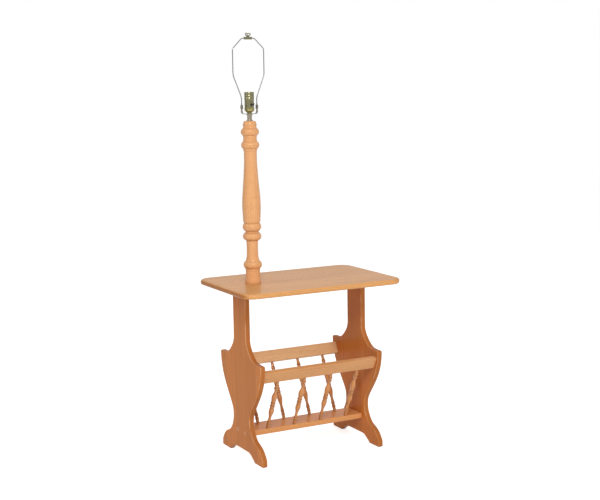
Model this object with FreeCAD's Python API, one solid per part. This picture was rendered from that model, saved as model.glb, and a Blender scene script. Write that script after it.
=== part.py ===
import FreeCAD, Part
import math
import os

# Floor lamp with a side table and a magazine rack, in millimetres.
# X runs along the table, Y from front to back, Z up. The origin is on the floor, at the
# middle of the table. The lamp stands near the left end of the table top.

# ---------------------------------------------------------------- driving dimensions
BOARD = 19.0                  # thickness of every flat board

TOP_LENGTH = 635.0
TOP_WIDTH = 425.0
TOP_HEIGHT = 628.5            # floor to the upper face of the table top
TOP_CORNER = 50.0             # radius of the corners in plan
TOP_ROUND = 8.0               # rounding along the upper and lower edges
TOP_OVERHANG = 70.5           # end of the top beyond the outer face of an end panel

# Half outline of an end panel. The points between two named places are given as shares of
# the way across and of the way up or down.
PANEL_ROUND = 3.0             # rounding along the edges of the panels
POST_HALF = 51.0              # half width of the upright part under the table top
POST_FOOT_HEIGHT = 440.0      # where the post begins to flare out into the ears
POST_TO_EAR_SHARES = [(0.12, 0.47), (0.35, 0.79)]
EAR_HALF = 168.0
EAR_HEIGHT = 362.0
WAIST_HALF = 68.0
WAIST_HEIGHT = 138.0
EAR_TO_WAIST_SHARES = [(0.16, 0.335), (0.47, 0.57), (0.95, 0.87)]
FOOT_HALF = 170.0
WAIST_TO_TOE_SHARES = [(0.06, 0.2), (0.31, 0.45), (0.755, 0.63), (0.96, 0.82)]
TIP_RADIUS = 6.0              # rounded tips of the ears and the toes
PAD_WIDTH = 60.0              # length of the flat that stands on the floor
ARCH_HALF = 50.0              # half width of the flat under the panel
ARCH_HEIGHT = 26.0
PAD_TO_ARCH_SHARES = [(0.39, 0.55)]

SHELF_WIDTH = 100.0
SHELF_HEIGHT = 101.0          # floor to the upper face of the shelf
SHELF_ROUND = 3.0

RAIL_WIDTH = 45.0
RAIL_FOOT_Y = 132.0           # middle of the lower edge of a rail
RAIL_FOOT_Z = 297.0
RAIL_ROUND = 3.5

SPINDLE_COUNT = 4
SPINDLE_END_GAP = 66.0        # axis of an outer spindle from the inner face of the panel
SPINDLE_FOOT_Y = 40.0         # where a spindle's axis meets the shelf
SPINDLE_TENON_RADIUS = 4.8
SPINDLE_TENON_LENGTH = 11.0
SPINDLE_FOOT_RADIUS = 6.0     # just above the shelf and between the two foot beads
SPINDLE_FOOT_BEAD_RADIUS = 7.4
SPINDLE_NECK_RADIUS = 4.9
SPINDLE_SWELL_RADIUS = 9.5
SPINDLE_MIDDLE_RADIUS = 7.7
SPINDLE_MIDDLE_BEAD_RADIUS = 9.0
SPINDLE_TOP_RADIUS = 6.2
SPINDLE_TOP_BEAD_RADIUS = 8.2
SPINDLE_BEAD_LENGTH = 7.6
SPINDLE_BEAD_GAP = 6.0        # between the two beads of a pair
SPINDLE_FOOT_BEADS = 16.0     # lower one of the two foot beads, above the shelf
SPINDLE_MIDDLE_BEADS = 101.0  # lower one of the two middle beads, above the shelf
SPINDLE_TOP_BEADS = 36.0      # lower one of the two top beads, below the rail

SCREW_RADIUS = 2.2
SCREW_HEAD_RADIUS = 4.2
SCREW_HEAD_HEIGHT = 2.6
SCREW_SLOT_WIDTH = 1.0
SCREW_SLOT_DEPTH = 1.0
PANEL_SCREW_LENGTH = 42.0
PLUG_RADIUS = 5.0
PLUG_LENGTH = 6.0
SHELF_SCREW_Y = 30.0

CLEAT_SIZE = 19.0
CLEAT_HALF_LENGTH = 45.0
CLEAT_SCREW_LENGTH = 30.0
CLEAT_UP_SCREW_Y = 34.0
CLEAT_SIDE_SCREW_Y = 14.0

LAMP_INSET = 40.0             # column axis from the inner face of the left end panel
PIPE_RADIUS = 5.1
PIPE_BORE_RADIUS = 3.6
PIPE_STUB = 5.0               # thread left beyond the nut and beyond the socket's hub
PIPE_WASHER_RADIUS = 15.0
PIPE_WASHER_THICKNESS = 1.6
PIPE_NUT_FLATS = 16.0
PIPE_NUT_HEIGHT = 6.0
BUSHING_FLANGE = 1.5
BUSHING_LENGTH = 10.0
BUSHING_WALL = 0.9

# Turned column, named from the foot upwards.
COLUMN_FOOT_RADIUS = 28.0
COLUMN_SHOULDER_RADIUS = 25.3  # where beads, coves and rings meet
COLUMN_RING_RADIUS = 26.4
COLUMN_BEAD_RADIUS = 33.2
COLUMN_COVE_RADIUS = 20.6
COLUMN_COVE_TOP_RADIUS = 21.8
COLUMN_GROOVE_RADIUS = 23.4
COLUMN_CREASE_RADIUS = 27.4
COLUMN_BELLY_RADIUS = 32.9
COLUMN_VASE_NECK_RADIUS = 22.7
COLUMN_UPPER_RING_RADIUS = 24.7
COLUMN_UPPER_BEAD_RADIUS = 32.2
COLUMN_UPPER_COVE_RADIUS = 23.8
COLUMN_TOP_RADIUS = 19.4
COLUMN_TAPER_BULGE = 0.7      # how far the lower taper hollows and the top taper swells
FOOT_BAND_HEIGHT = 12.0
FOOT_TAPER_HEIGHT = 34.0
RING_HEIGHT = 8.0
BEAD_HEIGHT = 28.0
COVE_HEIGHT = 73.0
GROOVE_HEIGHT = 6.0
VASE_HEIGHT = 253.0
BELLY_HEIGHT = 54.0           # widest place of the vase above its crease
VASE_FALL = 1.3               # how soon the vase thins above its widest place
UPPER_RING_HEIGHT = 10.0
UPPER_BEAD_HEIGHT = 26.0
UPPER_COVE_HEIGHT = 20.0
TOP_GROOVE_HEIGHT = 8.0
TOP_TAPER_HEIGHT = 9.0

NECK_RADIUS = 8.8
NECK_COLLAR_RADIUS = 10.6
NECK_COLLAR_HEIGHT = 3.4
NECK_FOOT_RADIUS = 11.4
NECK_FLARE_HEIGHT = 3.0
NECK_HEIGHT = 24.0

SADDLE_THICKNESS = 2.0
SADDLE_WIDTH = 12.0
SADDLE_BEND_RADIUS = 9.0
SADDLE_TAPER = 8.0            # height over which an arm narrows to its post
SADDLE_POST_HEIGHT = 21.0     # top of the posts above the saddle's seat
HARP_LEG_X = 29.5             # harp leg from the lamp axis
HARP_LEG_RADIUS = 2.6         # thickened end of a leg, and the saddle post under it
HARP_LEG_END = 16.0

HARP_WIRE_RADIUS = 1.9
HARP_HALF_WIDTH = 60.0
HARP_HEIGHT = 241.0           # from the saddle posts to the middle of the wire's top run
HARP_STRAIGHT = 38.0          # straight lower part of a leg
HARP_FLARE_HEIGHT = 76.0      # height over which the legs spread
HARP_FLARE_RADIUS = 60.0
HARP_SHOULDER = 36.0          # width and height of the sloping shoulders
HARP_BEND_RADIUS = 14.0

SLEEVE_RADIUS = 5.2
SLEEVE_WAIST_RADIUS = 4.7
SLEEVE_HEIGHT = 13.0
SLEEVE_OVERLAP = 2.5          # how far a sleeve reaches down over the saddle post

TOP_PLATE_LENGTH = 30.0
TOP_PLATE_WIDTH = 9.0
TOP_PLATE_HEIGHT = 9.0
TOP_PLATE_ROUND = 3.0
TOP_BOSS_RADIUS = 6.0
TOP_BOSS_HEIGHT = 1.4

STUD_RADIUS = 3.1
STUD_DEPTH = 2.8              # pivot below the flange
STUD_FLANGE_RADIUS = 5.0
STUD_FLANGE_HEIGHT = 1.2
STUD_SHOULDER_RADIUS = 3.6    # plain seat for the ring of a shade, between flange and finial
STUD_SHOULDER_HEIGHT = 3.0
STUD_LENGTH = 7.0             # thread above the shoulder
STUD_POINT = 0.6

FINIAL_HEIGHT = 9.2
FINIAL_RADIUS = 9.0
FINIAL_FOOT_RADIUS = 7.0
FINIAL_FOOT_HEIGHT = 2.3
FINIAL_CROWN_HEIGHT = 1.8
FINIAL_CREST_RADIUS = 2.2

CAP_RADIUS = 17.6
CAP_HEIGHT = 21.0
CAP_HUB_RADIUS = 8.6
CAP_HUB_HEIGHT = 4.0
CAP_RIM_HEIGHT = 4.5
CAP_SPREAD = 3.0              # how flat the dome leaves the hub: run over rise
SHEET_METAL = 0.7
SHELL_RADIUS = 16.7
SHELL_HEIGHT = 58.5
SHELL_RIB_HEIGHT = 3.2
SHELL_RIB_RISE = 0.8
SHELL_RIB_COUNT = 3
LINER_THICKNESS = 0.6
SOCKET_BODY_HEIGHT = 22.0
SCREW_SHELL_BORE_RADIUS = 13.1
SCREW_SHELL_DEPTH = 27.0
SCREW_SHELL_STEP = 5.0        # height of the narrower cup around the contact
SCREW_SHELL_STEP_WIDTH = 1.1
SCREW_SHELL_LEDGE = 5.0
CONTACT_WIDTH = 5.0
CONTACT_LENGTH = 14.0
CONTACT_LIFT = 4.0
TERMINAL_HEIGHT = 7.0         # terminal screws above the foot of the socket body
TERMINAL_HEAD_RADIUS = 2.8
TERMINAL_HEAD_HEIGHT = 1.5
TERMINAL_SHANK_RADIUS = 1.5
TERMINAL_SHANK_LENGTH = 5.0
TERMINAL_POCKET_DEPTH = 3.0
TERMINAL_POCKET_WIDTH = 7.4

KEY_HEIGHT = 31.0             # axis of the switch key above the socket cap's seat
KEY_STEM_RADIUS = 2.2
KEY_STEM_DEPTH = 12.0         # stem inside the socket body
KEY_SLOT_CLEARANCE = 1.0      # round the stem where it passes the shell and its liner
KEY_NECK_LENGTH = 6.0         # stem outside the shell
KEY_COLLAR_RADIUS = 3.5
KEY_COLLAR_LENGTH = 2.0
KEY_PADDLE_LENGTH = 13.0
KEY_PADDLE_WIDTH = 12.0
KEY_PADDLE_THICKNESS = 3.2
KEY_PADDLE_CORNER = 4.0
KEY_PADDLE_ROUND = 0.8
KEY_TILT = 45.0

RUNNING_CLEARANCE = 0.3       # between pieces that move on one another
FIT_CLEARANCE = 0.1           # between pieces that are pressed, glued or screwed together
WOOD_CLEARANCE = 0.3          # between the column's bore and the pipe

# ---------------------------------------------------------------- places worked out
PANEL_OUTER_X = TOP_LENGTH / 2 - TOP_OVERHANG
PANEL_INNER_X = PANEL_OUTER_X - BOARD
TOP_UNDERSIDE = TOP_HEIGHT - BOARD
SHELF_UNDERSIDE = SHELF_HEIGHT - BOARD

LEAN = math.atan2(RAIL_FOOT_Y - SPINDLE_FOOT_Y, RAIL_FOOT_Z - SHELF_HEIGHT)
SPINDLE_LENGTH = math.hypot(RAIL_FOOT_Y - SPINDLE_FOOT_Y, RAIL_FOOT_Z - SHELF_HEIGHT)
RAIL_CENTRE_Y = RAIL_FOOT_Y + RAIL_WIDTH / 2 * math.sin(LEAN)
RAIL_CENTRE_Z = RAIL_FOOT_Z + RAIL_WIDTH / 2 * math.cos(LEAN)

LAMP_X = LAMP_INSET - PANEL_INNER_X
COLUMN_HEIGHT = (FOOT_BAND_HEIGHT + FOOT_TAPER_HEIGHT + 2 * RING_HEIGHT + 3 * BEAD_HEIGHT
                 + COVE_HEIGHT + GROOVE_HEIGHT + VASE_HEIGHT + UPPER_RING_HEIGHT
                 + 2 * UPPER_BEAD_HEIGHT + UPPER_COVE_HEIGHT + TOP_GROOVE_HEIGHT
                 + TOP_TAPER_HEIGHT)
SADDLE_SEAT = TOP_HEIGHT + COLUMN_HEIGHT + NECK_HEIGHT
POST_TOP = SADDLE_SEAT + SADDLE_POST_HEIGHT
CAP_SEAT = SADDLE_SEAT + SADDLE_THICKNESS
SHELL_FOOT = CAP_SEAT + CAP_HEIGHT - CAP_RIM_HEIGHT
SOCKET_BODY_TOP = SHELL_FOOT + SOCKET_BODY_HEIGHT
LINER_RADIUS = SHELL_RADIUS - SHEET_METAL - FIT_CLEARANCE
SOCKET_BODY_RADIUS = LINER_RADIUS - LINER_THICKNESS - FIT_CLEARANCE
PIPE_HOLE_RADIUS = PIPE_RADIUS + FIT_CLEARANCE
PIPE_TOP = CAP_SEAT + CAP_HUB_HEIGHT + PIPE_STUB
NUT_FOOT = TOP_UNDERSIDE - PIPE_WASHER_THICKNESS - PIPE_NUT_HEIGHT
PIPE_FOOT = NUT_FOOT - PIPE_STUB
KEY_Z = CAP_SEAT + KEY_HEIGHT
TERMINAL_Z = SHELL_FOOT + TERMINAL_HEIGHT
HARP_FOOT = POST_TOP + RUNNING_CLEARANCE
HARP_TOP = HARP_FOOT + HARP_HEIGHT
PLATE_TOP = HARP_TOP + TOP_PLATE_HEIGHT / 2 + TOP_BOSS_HEIGHT
STUD_SEAT = PLATE_TOP + RUNNING_CLEARANCE / 2
SHOULDER_TOP = STUD_SEAT + STUD_FLANGE_HEIGHT + STUD_SHOULDER_HEIGHT
FINIAL_SEAT = SHOULDER_TOP + RUNNING_CLEARANCE


# ---------------------------------------------------------------- shaping
def vec(x, y, z):
    return FreeCAD.Vector(x, y, z)


def save(name, shape):
    shape.exportStep(os.path.join("parts", name + ".step"))


def moved(shape, x=0.0, y=0.0, z=0.0):
    copy = shape.copy()
    copy.translate(vec(x, y, z))
    return copy


def turned(shape, axis, degrees):
    copy = shape.copy()
    copy.rotate(vec(0, 0, 0), axis, degrees)
    return copy


def line(a, b):
    return Part.LineSegment(a, b).toShape()


def arc(a, middle, b):
    return Part.Arc(a, middle, b).toShape()


def curve(points, start, end):
    """Smooth curve through the points, with the given directions at its two ends."""
    spline = Part.BSplineCurve()
    spline.interpolate(Points=points, InitialTangent=start, FinalTangent=end)
    return spline.toShape()


def cylinder(radius, foot, top):
    return Part.makeCylinder(radius, top - foot, vec(0, 0, foot))


def ring(outer, inner, foot, top):
    return cylinder(outer, foot, top).cut(cylinder(inner, foot, top))


def at_lamp(shape, z=0.0):
    return moved(shape, x=LAMP_X, z=z)


class Turning:
    """Half outline of a turned piece, drawn in the XZ plane and then turned about Z."""

    def __init__(self, radius, z):
        self.start = vec(radius, 0, z)
        self.here = self.start
        self.edges = []

    def line_to(self, radius, z):
        there = vec(radius, 0, z)
        self.edges.append(line(self.here, there))
        self.here = there

    def step(self, radius):
        """Flat shoulder, in or out to the given radius."""
        self.line_to(radius, self.here.z)

    def rise(self, height):
        """Straight cylindrical length."""
        self.line_to(self.here.x, self.here.z + height)

    def swell(self, height, radius, middle):
        """Arc up to the given radius, which passes the middle radius half way up."""
        there = vec(radius, 0, self.here.z + height)
        half_way = vec(middle, 0, self.here.z + height / 2)
        self.edges.append(arc(self.here, half_way, there))
        self.here = there

    def curve_to(self, points, start, end):
        """Smooth curve through (radius, z) points; its end directions are given likewise."""
        through = [self.here] + [vec(radius, 0, z) for radius, z in points]
        self.edges.append(curve(through, vec(start[0], 0, start[1]), vec(end[0], 0, end[1])))
        self.here = through[-1]

    def solid(self):
        """Closes the outline back to its start and turns it."""
        closing = line(self.here, self.start)
        face = Part.Face(Part.Wire(self.edges + [closing]))
        return face.revolve(vec(0, 0, 0), vec(0, 0, 1), 360)


# ---------------------------------------------------------------- screws
def screw(length):
    """Countersunk wood screw: its head's flat face is at z = 0 and its point is below."""
    blank = Turning(0, -length)
    blank.line_to(SCREW_RADIUS, 2 * SCREW_RADIUS - length)
    blank.line_to(SCREW_RADIUS, -SCREW_HEAD_HEIGHT)
    blank.line_to(SCREW_HEAD_RADIUS, 0)
    blank.step(0)
    slot = Part.makeBox(
        2 * SCREW_HEAD_RADIUS, SCREW_SLOT_WIDTH, SCREW_SLOT_DEPTH,
        vec(-SCREW_HEAD_RADIUS, -SCREW_SLOT_WIDTH / 2, -SCREW_SLOT_DEPTH))
    return blank.solid().cut(slot)


def screw_hole(length):
    """Hole for one screw, with its countersink."""
    radius = SCREW_RADIUS + FIT_CLEARANCE
    head = SCREW_HEAD_RADIUS + FIT_CLEARANCE
    sink = Part.makeCone(radius, head, SCREW_HEAD_HEIGHT, vec(0, 0, -SCREW_HEAD_HEIGHT))
    return cylinder(radius, -length, 0).fuse(sink)


def in_panels(shape):
    """Copies at every screw through the end panels: into both rails and into the shelf.

    The shape's z = 0 plane comes to the bottom of the plug's hole, and its z axis outwards.
    """
    places = [(RAIL_CENTRE_Y, RAIL_CENTRE_Z), (SHELF_SCREW_Y, SHELF_HEIGHT - BOARD / 2)]
    copies = []
    for end in (-1, 1):
        laid = turned(shape, vec(0, 1, 0), end * 90)
        for side in (-1, 1):
            for y, z in places:
                copies.append(moved(laid, end * (PANEL_OUTER_X - PLUG_LENGTH), side * y, z))
    return copies


def in_cleats(shape):
    """Copies at every screw of the cleats: two go up and two go sideways in each cleat."""
    foot = TOP_UNDERSIDE - CLEAT_SIZE
    copies = []
    for end in (-1, 1):
        up = turned(shape, vec(1, 0, 0), 180)
        across = turned(shape, vec(0, 1, 0), -end * 90)
        inner_x = end * (PANEL_INNER_X - CLEAT_SIZE)
        middle_x = end * (PANEL_INNER_X - CLEAT_SIZE / 2)
        for side in (-1, 1):
            copies.append(moved(up, middle_x, side * CLEAT_UP_SCREW_Y, foot))
            copies.append(moved(across, inner_x, side * CLEAT_SIDE_SCREW_Y, foot + CLEAT_SIZE / 2))
    return copies


def panel_screws():
    return Part.makeCompound(in_panels(screw(PANEL_SCREW_LENGTH)))


def screw_plugs():
    return Part.makeCompound(in_panels(cylinder(PLUG_RADIUS, 0, PLUG_LENGTH)))


def cleat_screws():
    return Part.makeCompound(in_cleats(screw(CLEAT_SCREW_LENGTH)))


def drilled(board, holes):
    for hole in holes:
        board = board.cut(hole)
    return board


def panel_screw_holes():
    return in_panels(screw_hole(PANEL_SCREW_LENGTH))


def plug_holes():
    return in_panels(cylinder(PLUG_RADIUS + FIT_CLEARANCE, 0, PLUG_LENGTH))


def cleat_screw_holes():
    return in_cleats(screw_hole(CLEAT_SCREW_LENGTH))


# ---------------------------------------------------------------- table
def table_top():
    slab = Part.makeBox(
        TOP_LENGTH, TOP_WIDTH, BOARD, vec(-TOP_LENGTH / 2, -TOP_WIDTH / 2, TOP_UNDERSIDE))
    corners = [edge for edge in slab.Edges if edge.BoundBox.ZLength > BOARD / 2]
    slab = slab.makeFillet(TOP_CORNER, corners)
    rims = [edge for edge in slab.Edges if edge.BoundBox.ZLength < BOARD / 2]
    slab = slab.makeFillet(TOP_ROUND, rims)
    pipe_hole = cylinder(PIPE_RADIUS + WOOD_CLEARANCE, TOP_UNDERSIDE, TOP_HEIGHT)
    return drilled(slab, [at_lamp(pipe_hole)] + cleat_screw_holes())


def between(a, b, shares):
    """Points at shares of the way from a to b, across and up."""
    way = b - a
    return [a + vec(way.x * across, way.y * up, 0) for across, up in shares]


def panel_half_outline():
    """Right half of an end panel, from the top edge's middle down to the arch's middle."""
    out, down = vec(1, 0, 0), vec(0, -1, 0)
    top_middle = vec(0, TOP_UNDERSIDE, 0)
    top_corner = vec(POST_HALF, TOP_UNDERSIDE, 0)
    post = vec(POST_HALF, POST_FOOT_HEIGHT, 0)
    ear_top = vec(EAR_HALF - TIP_RADIUS, EAR_HEIGHT, 0)
    ear_side = vec(EAR_HALF, EAR_HEIGHT - TIP_RADIUS, 0)
    waist = vec(WAIST_HALF, WAIST_HEIGHT, 0)
    toe = vec(FOOT_HALF, TIP_RADIUS, 0)
    pad_end = vec(FOOT_HALF - TIP_RADIUS, 0, 0)
    pad_start = vec(pad_end.x - PAD_WIDTH, 0, 0)
    arch = vec(ARCH_HALF, ARCH_HEIGHT, 0)
    arch_middle = vec(0, ARCH_HEIGHT, 0)
    inset = TIP_RADIUS * (1 - math.sqrt(0.5))
    ear_tip = vec(EAR_HALF - inset, EAR_HEIGHT - inset, 0)
    toe_tip = vec(FOOT_HALF - inset, inset, 0)
    return [
        line(top_middle, top_corner),
        line(top_corner, post),
        curve([post] + between(post, ear_top, POST_TO_EAR_SHARES) + [ear_top], down, out),
        arc(ear_top, ear_tip, ear_side),
        curve([ear_side] + between(ear_side, waist, EAR_TO_WAIST_SHARES) + [waist], down, down),
        curve([waist] + between(waist, toe, WAIST_TO_TOE_SHARES) + [toe], down, down),
        arc(toe, toe_tip, pad_end),
        line(pad_end, pad_start),
        curve([pad_start] + between(pad_start, arch, PAD_TO_ARCH_SHARES) + [arch], vec(-1, 1, 0), -out),
        line(arch, arch_middle),
    ]


def end_panel(end):
    half = panel_half_outline()
    other = [edge.mirror(vec(0, 0, 0), vec(1, 0, 0)) for edge in half]
    outline = Part.Wire(Part.__sortEdges__(half + other))
    board = Part.Face(outline).extrude(vec(0, 0, BOARD))
    flat = [edge for edge in board.Edges if edge.BoundBox.ZLength < BOARD / 2]
    rims = [edge for edge in flat if edge.BoundBox.YMin < TOP_UNDERSIDE - TIP_RADIUS]
    board = board.makeFillet(PANEL_ROUND, rims)
    upright = turned(turned(board, vec(1, 0, 0), 90), vec(0, 0, 1), 90)
    placed = moved(upright, x=PANEL_INNER_X if end > 0 else -PANEL_OUTER_X)
    return drilled(placed, panel_screw_holes() + plug_holes() + cleat_screw_holes())


def top_cleat(end):
    """Block in the corner between an end panel and the underside of the top."""
    middle_x = end * (PANEL_INNER_X - CLEAT_SIZE / 2)
    block = Part.makeBox(
        CLEAT_SIZE, 2 * CLEAT_HALF_LENGTH, CLEAT_SIZE,
        vec(middle_x - CLEAT_SIZE / 2, -CLEAT_HALF_LENGTH, TOP_UNDERSIDE - CLEAT_SIZE))
    return drilled(block, cleat_screw_holes())


# ---------------------------------------------------------------- magazine rack
def spindle_xs():
    first = SPINDLE_END_GAP - PANEL_INNER_X
    pitch = -2 * first / (SPINDLE_COUNT - 1)
    return [first + index * pitch for index in range(SPINDLE_COUNT)]


def in_rack(shape, x, side):
    """Leans an upright shape outwards, with its foot where a spindle meets the shelf."""
    leaning = turned(shape, vec(1, 0, 0), -side * math.degrees(LEAN))
    return moved(leaning, x, side * SPINDLE_FOOT_Y, SHELF_HEIGHT)


def add_bead_pair(blank, bead_radius):
    shaft = blank.here.x
    blank.swell(SPINDLE_BEAD_LENGTH, shaft, bead_radius)
    blank.rise(SPINDLE_BEAD_GAP)
    blank.swell(SPINDLE_BEAD_LENGTH, shaft, bead_radius)


def add_long_swell(blank, points, end_radius, top):
    """Smooth run up to the given height, through points at (radius, share of the height)."""
    foot = blank.here.z
    through = [(radius, foot + share * (top - foot)) for radius, share in points]
    blank.curve_to(through + [(end_radius, top)], (0, 1), (0, 1))


def spindle_blank():
    """Turned spindle with a round tenon at each end; z = 0 is where it leaves the shelf."""
    tenon, foot, neck = SPINDLE_TENON_RADIUS, SPINDLE_FOOT_RADIUS, SPINDLE_NECK_RADIUS
    swell, middle, top = SPINDLE_SWELL_RADIUS, SPINDLE_MIDDLE_RADIUS, SPINDLE_TOP_RADIUS
    half_bead = SPINDLE_BEAD_LENGTH / 2
    foot_start = (foot * math.sin(LEAN) + FIT_CLEARANCE) / math.cos(LEAN)
    top_beads_foot = SPINDLE_LENGTH - SPINDLE_TOP_BEADS - half_bead
    blank = Turning(0, -SPINDLE_TENON_LENGTH)
    blank.step(tenon)
    blank.line_to(tenon, foot_start)
    blank.step(foot)
    blank.line_to(foot, SPINDLE_FOOT_BEADS - half_bead)
    add_bead_pair(blank, SPINDLE_FOOT_BEAD_RADIUS)
    add_long_swell(
        blank, [(neck, 0.2), (swell, 0.74)], middle, SPINDLE_MIDDLE_BEADS - half_bead)
    add_bead_pair(blank, SPINDLE_MIDDLE_BEAD_RADIUS)
    add_long_swell(blank, [(swell, 0.46), (neck, 0.9)], top, top_beads_foot)
    add_bead_pair(blank, SPINDLE_TOP_BEAD_RADIUS)
    blank.line_to(neck, SPINDLE_LENGTH - FIT_CLEARANCE)
    blank.step(tenon)
    blank.line_to(tenon, SPINDLE_LENGTH + SPINDLE_TENON_LENGTH)
    blank.step(0)
    return blank.solid()


def spindle_holes():
    hole = cylinder(
        SPINDLE_TENON_RADIUS + FIT_CLEARANCE, -SPINDLE_TENON_LENGTH,
        SPINDLE_LENGTH + SPINDLE_TENON_LENGTH)
    return [in_rack(hole, x, side) for x in spindle_xs() for side in (-1, 1)]


def rack_board(width, height, foot, rounding):
    """Board between the end panels, across the Y = 0 plane, with its long edges rounded."""
    board = Part.makeBox(
        2 * PANEL_INNER_X, width, height, vec(-PANEL_INNER_X, -width / 2, foot))
    long_edges = [edge for edge in board.Edges if edge.BoundBox.XLength > PANEL_INNER_X]
    return board.makeFillet(rounding, long_edges)


def shelf():
    board = rack_board(SHELF_WIDTH, BOARD, SHELF_UNDERSIDE, SHELF_ROUND)
    return drilled(board, panel_screw_holes() + spindle_holes())


def rail(side):
    board = in_rack(rack_board(BOARD, RAIL_WIDTH, SPINDLE_LENGTH, RAIL_ROUND), 0, side)
    return drilled(board, panel_screw_holes() + spindle_holes())


# ---------------------------------------------------------------- column and its fixing
def add_vase(column):
    """Long swelling of the column: full just above its crease, then a slow fall to a neck."""
    foot = column.here.z
    swell = COLUMN_BELLY_RADIUS - COLUMN_CREASE_RADIUS
    fall = COLUMN_BELLY_RADIUS - COLUMN_VASE_NECK_RADIUS
    points = [
        (COLUMN_CREASE_RADIUS + 0.7 * swell, foot + BELLY_HEIGHT / 3),
        (COLUMN_BELLY_RADIUS, foot + BELLY_HEIGHT),
    ]
    for share in (0.25, 0.5, 0.75, 1.0):
        left = ((1 + math.cos(math.pi * share)) / 2) ** VASE_FALL
        height = BELLY_HEIGHT + share * (VASE_HEIGHT - BELLY_HEIGHT)
        points.append((COLUMN_VASE_NECK_RADIUS + fall * left, foot + height))
    column.curve_to(points, (1, 1), (0, 1))


def add_long_cove(column):
    """Flares out at its foot and runs nearly straight above that."""
    foot = column.here.z
    hollow = [(COLUMN_COVE_RADIUS, foot + share * COVE_HEIGHT) for share in (0.4, 0.85)]
    top = (COLUMN_COVE_TOP_RADIUS, foot + COVE_HEIGHT)
    column.curve_to(hollow + [top], (-1, 2), (1, 4))


def lamp_column():
    shoulder, groove = COLUMN_SHOULDER_RADIUS, COLUMN_GROOVE_RADIUS
    top_middle = (groove + COLUMN_TOP_RADIUS) / 2 + COLUMN_TAPER_BULGE
    foot_middle = (COLUMN_FOOT_RADIUS + shoulder) / 2 - COLUMN_TAPER_BULGE
    column = Turning(PIPE_RADIUS + WOOD_CLEARANCE, 0)
    column.step(COLUMN_FOOT_RADIUS)
    column.rise(FOOT_BAND_HEIGHT)
    column.swell(FOOT_TAPER_HEIGHT, shoulder, foot_middle)
    column.swell(RING_HEIGHT, shoulder, COLUMN_RING_RADIUS)
    column.swell(BEAD_HEIGHT, shoulder, COLUMN_BEAD_RADIUS)
    add_long_cove(column)
    column.swell(BEAD_HEIGHT, shoulder, COLUMN_BEAD_RADIUS)
    column.swell(GROOVE_HEIGHT, shoulder, groove)
    column.swell(BEAD_HEIGHT, COLUMN_CREASE_RADIUS, COLUMN_BEAD_RADIUS)
    add_vase(column)
    column.swell(UPPER_RING_HEIGHT, shoulder, COLUMN_UPPER_RING_RADIUS)
    column.swell(UPPER_BEAD_HEIGHT, shoulder, COLUMN_UPPER_BEAD_RADIUS)
    column.swell(UPPER_COVE_HEIGHT, shoulder, COLUMN_UPPER_COVE_RADIUS)
    column.swell(UPPER_BEAD_HEIGHT, shoulder, COLUMN_UPPER_BEAD_RADIUS)
    column.swell(TOP_GROOVE_HEIGHT, groove, groove)
    column.swell(RING_HEIGHT, groove, COLUMN_UPPER_RING_RADIUS)
    column.swell(TOP_TAPER_HEIGHT, COLUMN_TOP_RADIUS, top_middle)
    column.step(PIPE_RADIUS + WOOD_CLEARANCE)
    return at_lamp(column.solid(), z=TOP_HEIGHT)


def lamp_pipe():
    return at_lamp(ring(PIPE_RADIUS, PIPE_BORE_RADIUS, PIPE_FOOT, PIPE_TOP))


def pipe_washer():
    foot = TOP_UNDERSIDE - PIPE_WASHER_THICKNESS
    return at_lamp(ring(PIPE_WASHER_RADIUS, PIPE_HOLE_RADIUS, foot, TOP_UNDERSIDE))


def pipe_nut():
    """Hexagon nut with the corners of its lower face chamfered."""
    flat = PIPE_NUT_FLATS / 2
    corner = flat / math.cos(math.radians(30))
    turns = [math.radians(60 * index) for index in range(7)]
    corners = [vec(corner * math.cos(turn), corner * math.sin(turn), 0) for turn in turns]
    hexagon = Part.Face(Part.makePolygon(corners)).extrude(vec(0, 0, PIPE_NUT_HEIGHT))
    chamfer = Part.makeCone(flat, flat + PIPE_NUT_HEIGHT, PIPE_NUT_HEIGHT)
    hole = cylinder(PIPE_HOLE_RADIUS, 0, PIPE_NUT_HEIGHT)
    return at_lamp(hexagon.common(chamfer).cut(hole), z=NUT_FOOT)


def cord_bushing():
    """Plastic gland pushed into the lower end of the pipe, for the mains cord."""
    outer = PIPE_BORE_RADIUS - FIT_CLEARANCE
    bore = outer - BUSHING_WALL
    half = BUSHING_FLANGE / 2
    gland = Turning(bore, -BUSHING_FLANGE)
    gland.step(PIPE_RADIUS - half)
    gland.line_to(PIPE_RADIUS, -half)
    gland.rise(half)
    gland.step(outer)
    gland.rise(BUSHING_LENGTH)
    gland.step(bore)
    return at_lamp(gland.solid(), z=PIPE_FOOT)


def lamp_neck():
    """Brass spacer between the column and the saddle, with a flared foot and a collar."""
    flare_top = NECK_COLLAR_HEIGHT + NECK_FLARE_HEIGHT
    neck = Turning(PIPE_HOLE_RADIUS, 0)
    neck.step(NECK_COLLAR_RADIUS)
    neck.swell(NECK_COLLAR_HEIGHT, NECK_COLLAR_RADIUS, NECK_FOOT_RADIUS)
    neck.curve_to([(NECK_RADIUS, flare_top)], (-1, 0), (0, 1))
    neck.rise(NECK_HEIGHT - NECK_COLLAR_HEIGHT - flare_top)
    neck.step(NECK_COLLAR_RADIUS)
    neck.rise(NECK_COLLAR_HEIGHT)
    neck.step(PIPE_HOLE_RADIUS)
    return at_lamp(neck.solid(), z=TOP_HEIGHT + COLUMN_HEIGHT)


# ---------------------------------------------------------------- harp
def saddle_block(half_length, foot, top, bend):
    """Block over the strap's width, with its two lower edges across the lamp rounded."""
    block = Part.makeBox(
        2 * half_length, SADDLE_WIDTH, top - foot, vec(-half_length, -SADDLE_WIDTH / 2, foot))
    across = [edge for edge in block.Edges if edge.BoundBox.YLength > SADDLE_WIDTH / 2]
    lower = [edge for edge in across if edge.BoundBox.ZMax < (foot + top) / 2]
    return block.makeFillet(bend, lower)


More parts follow.
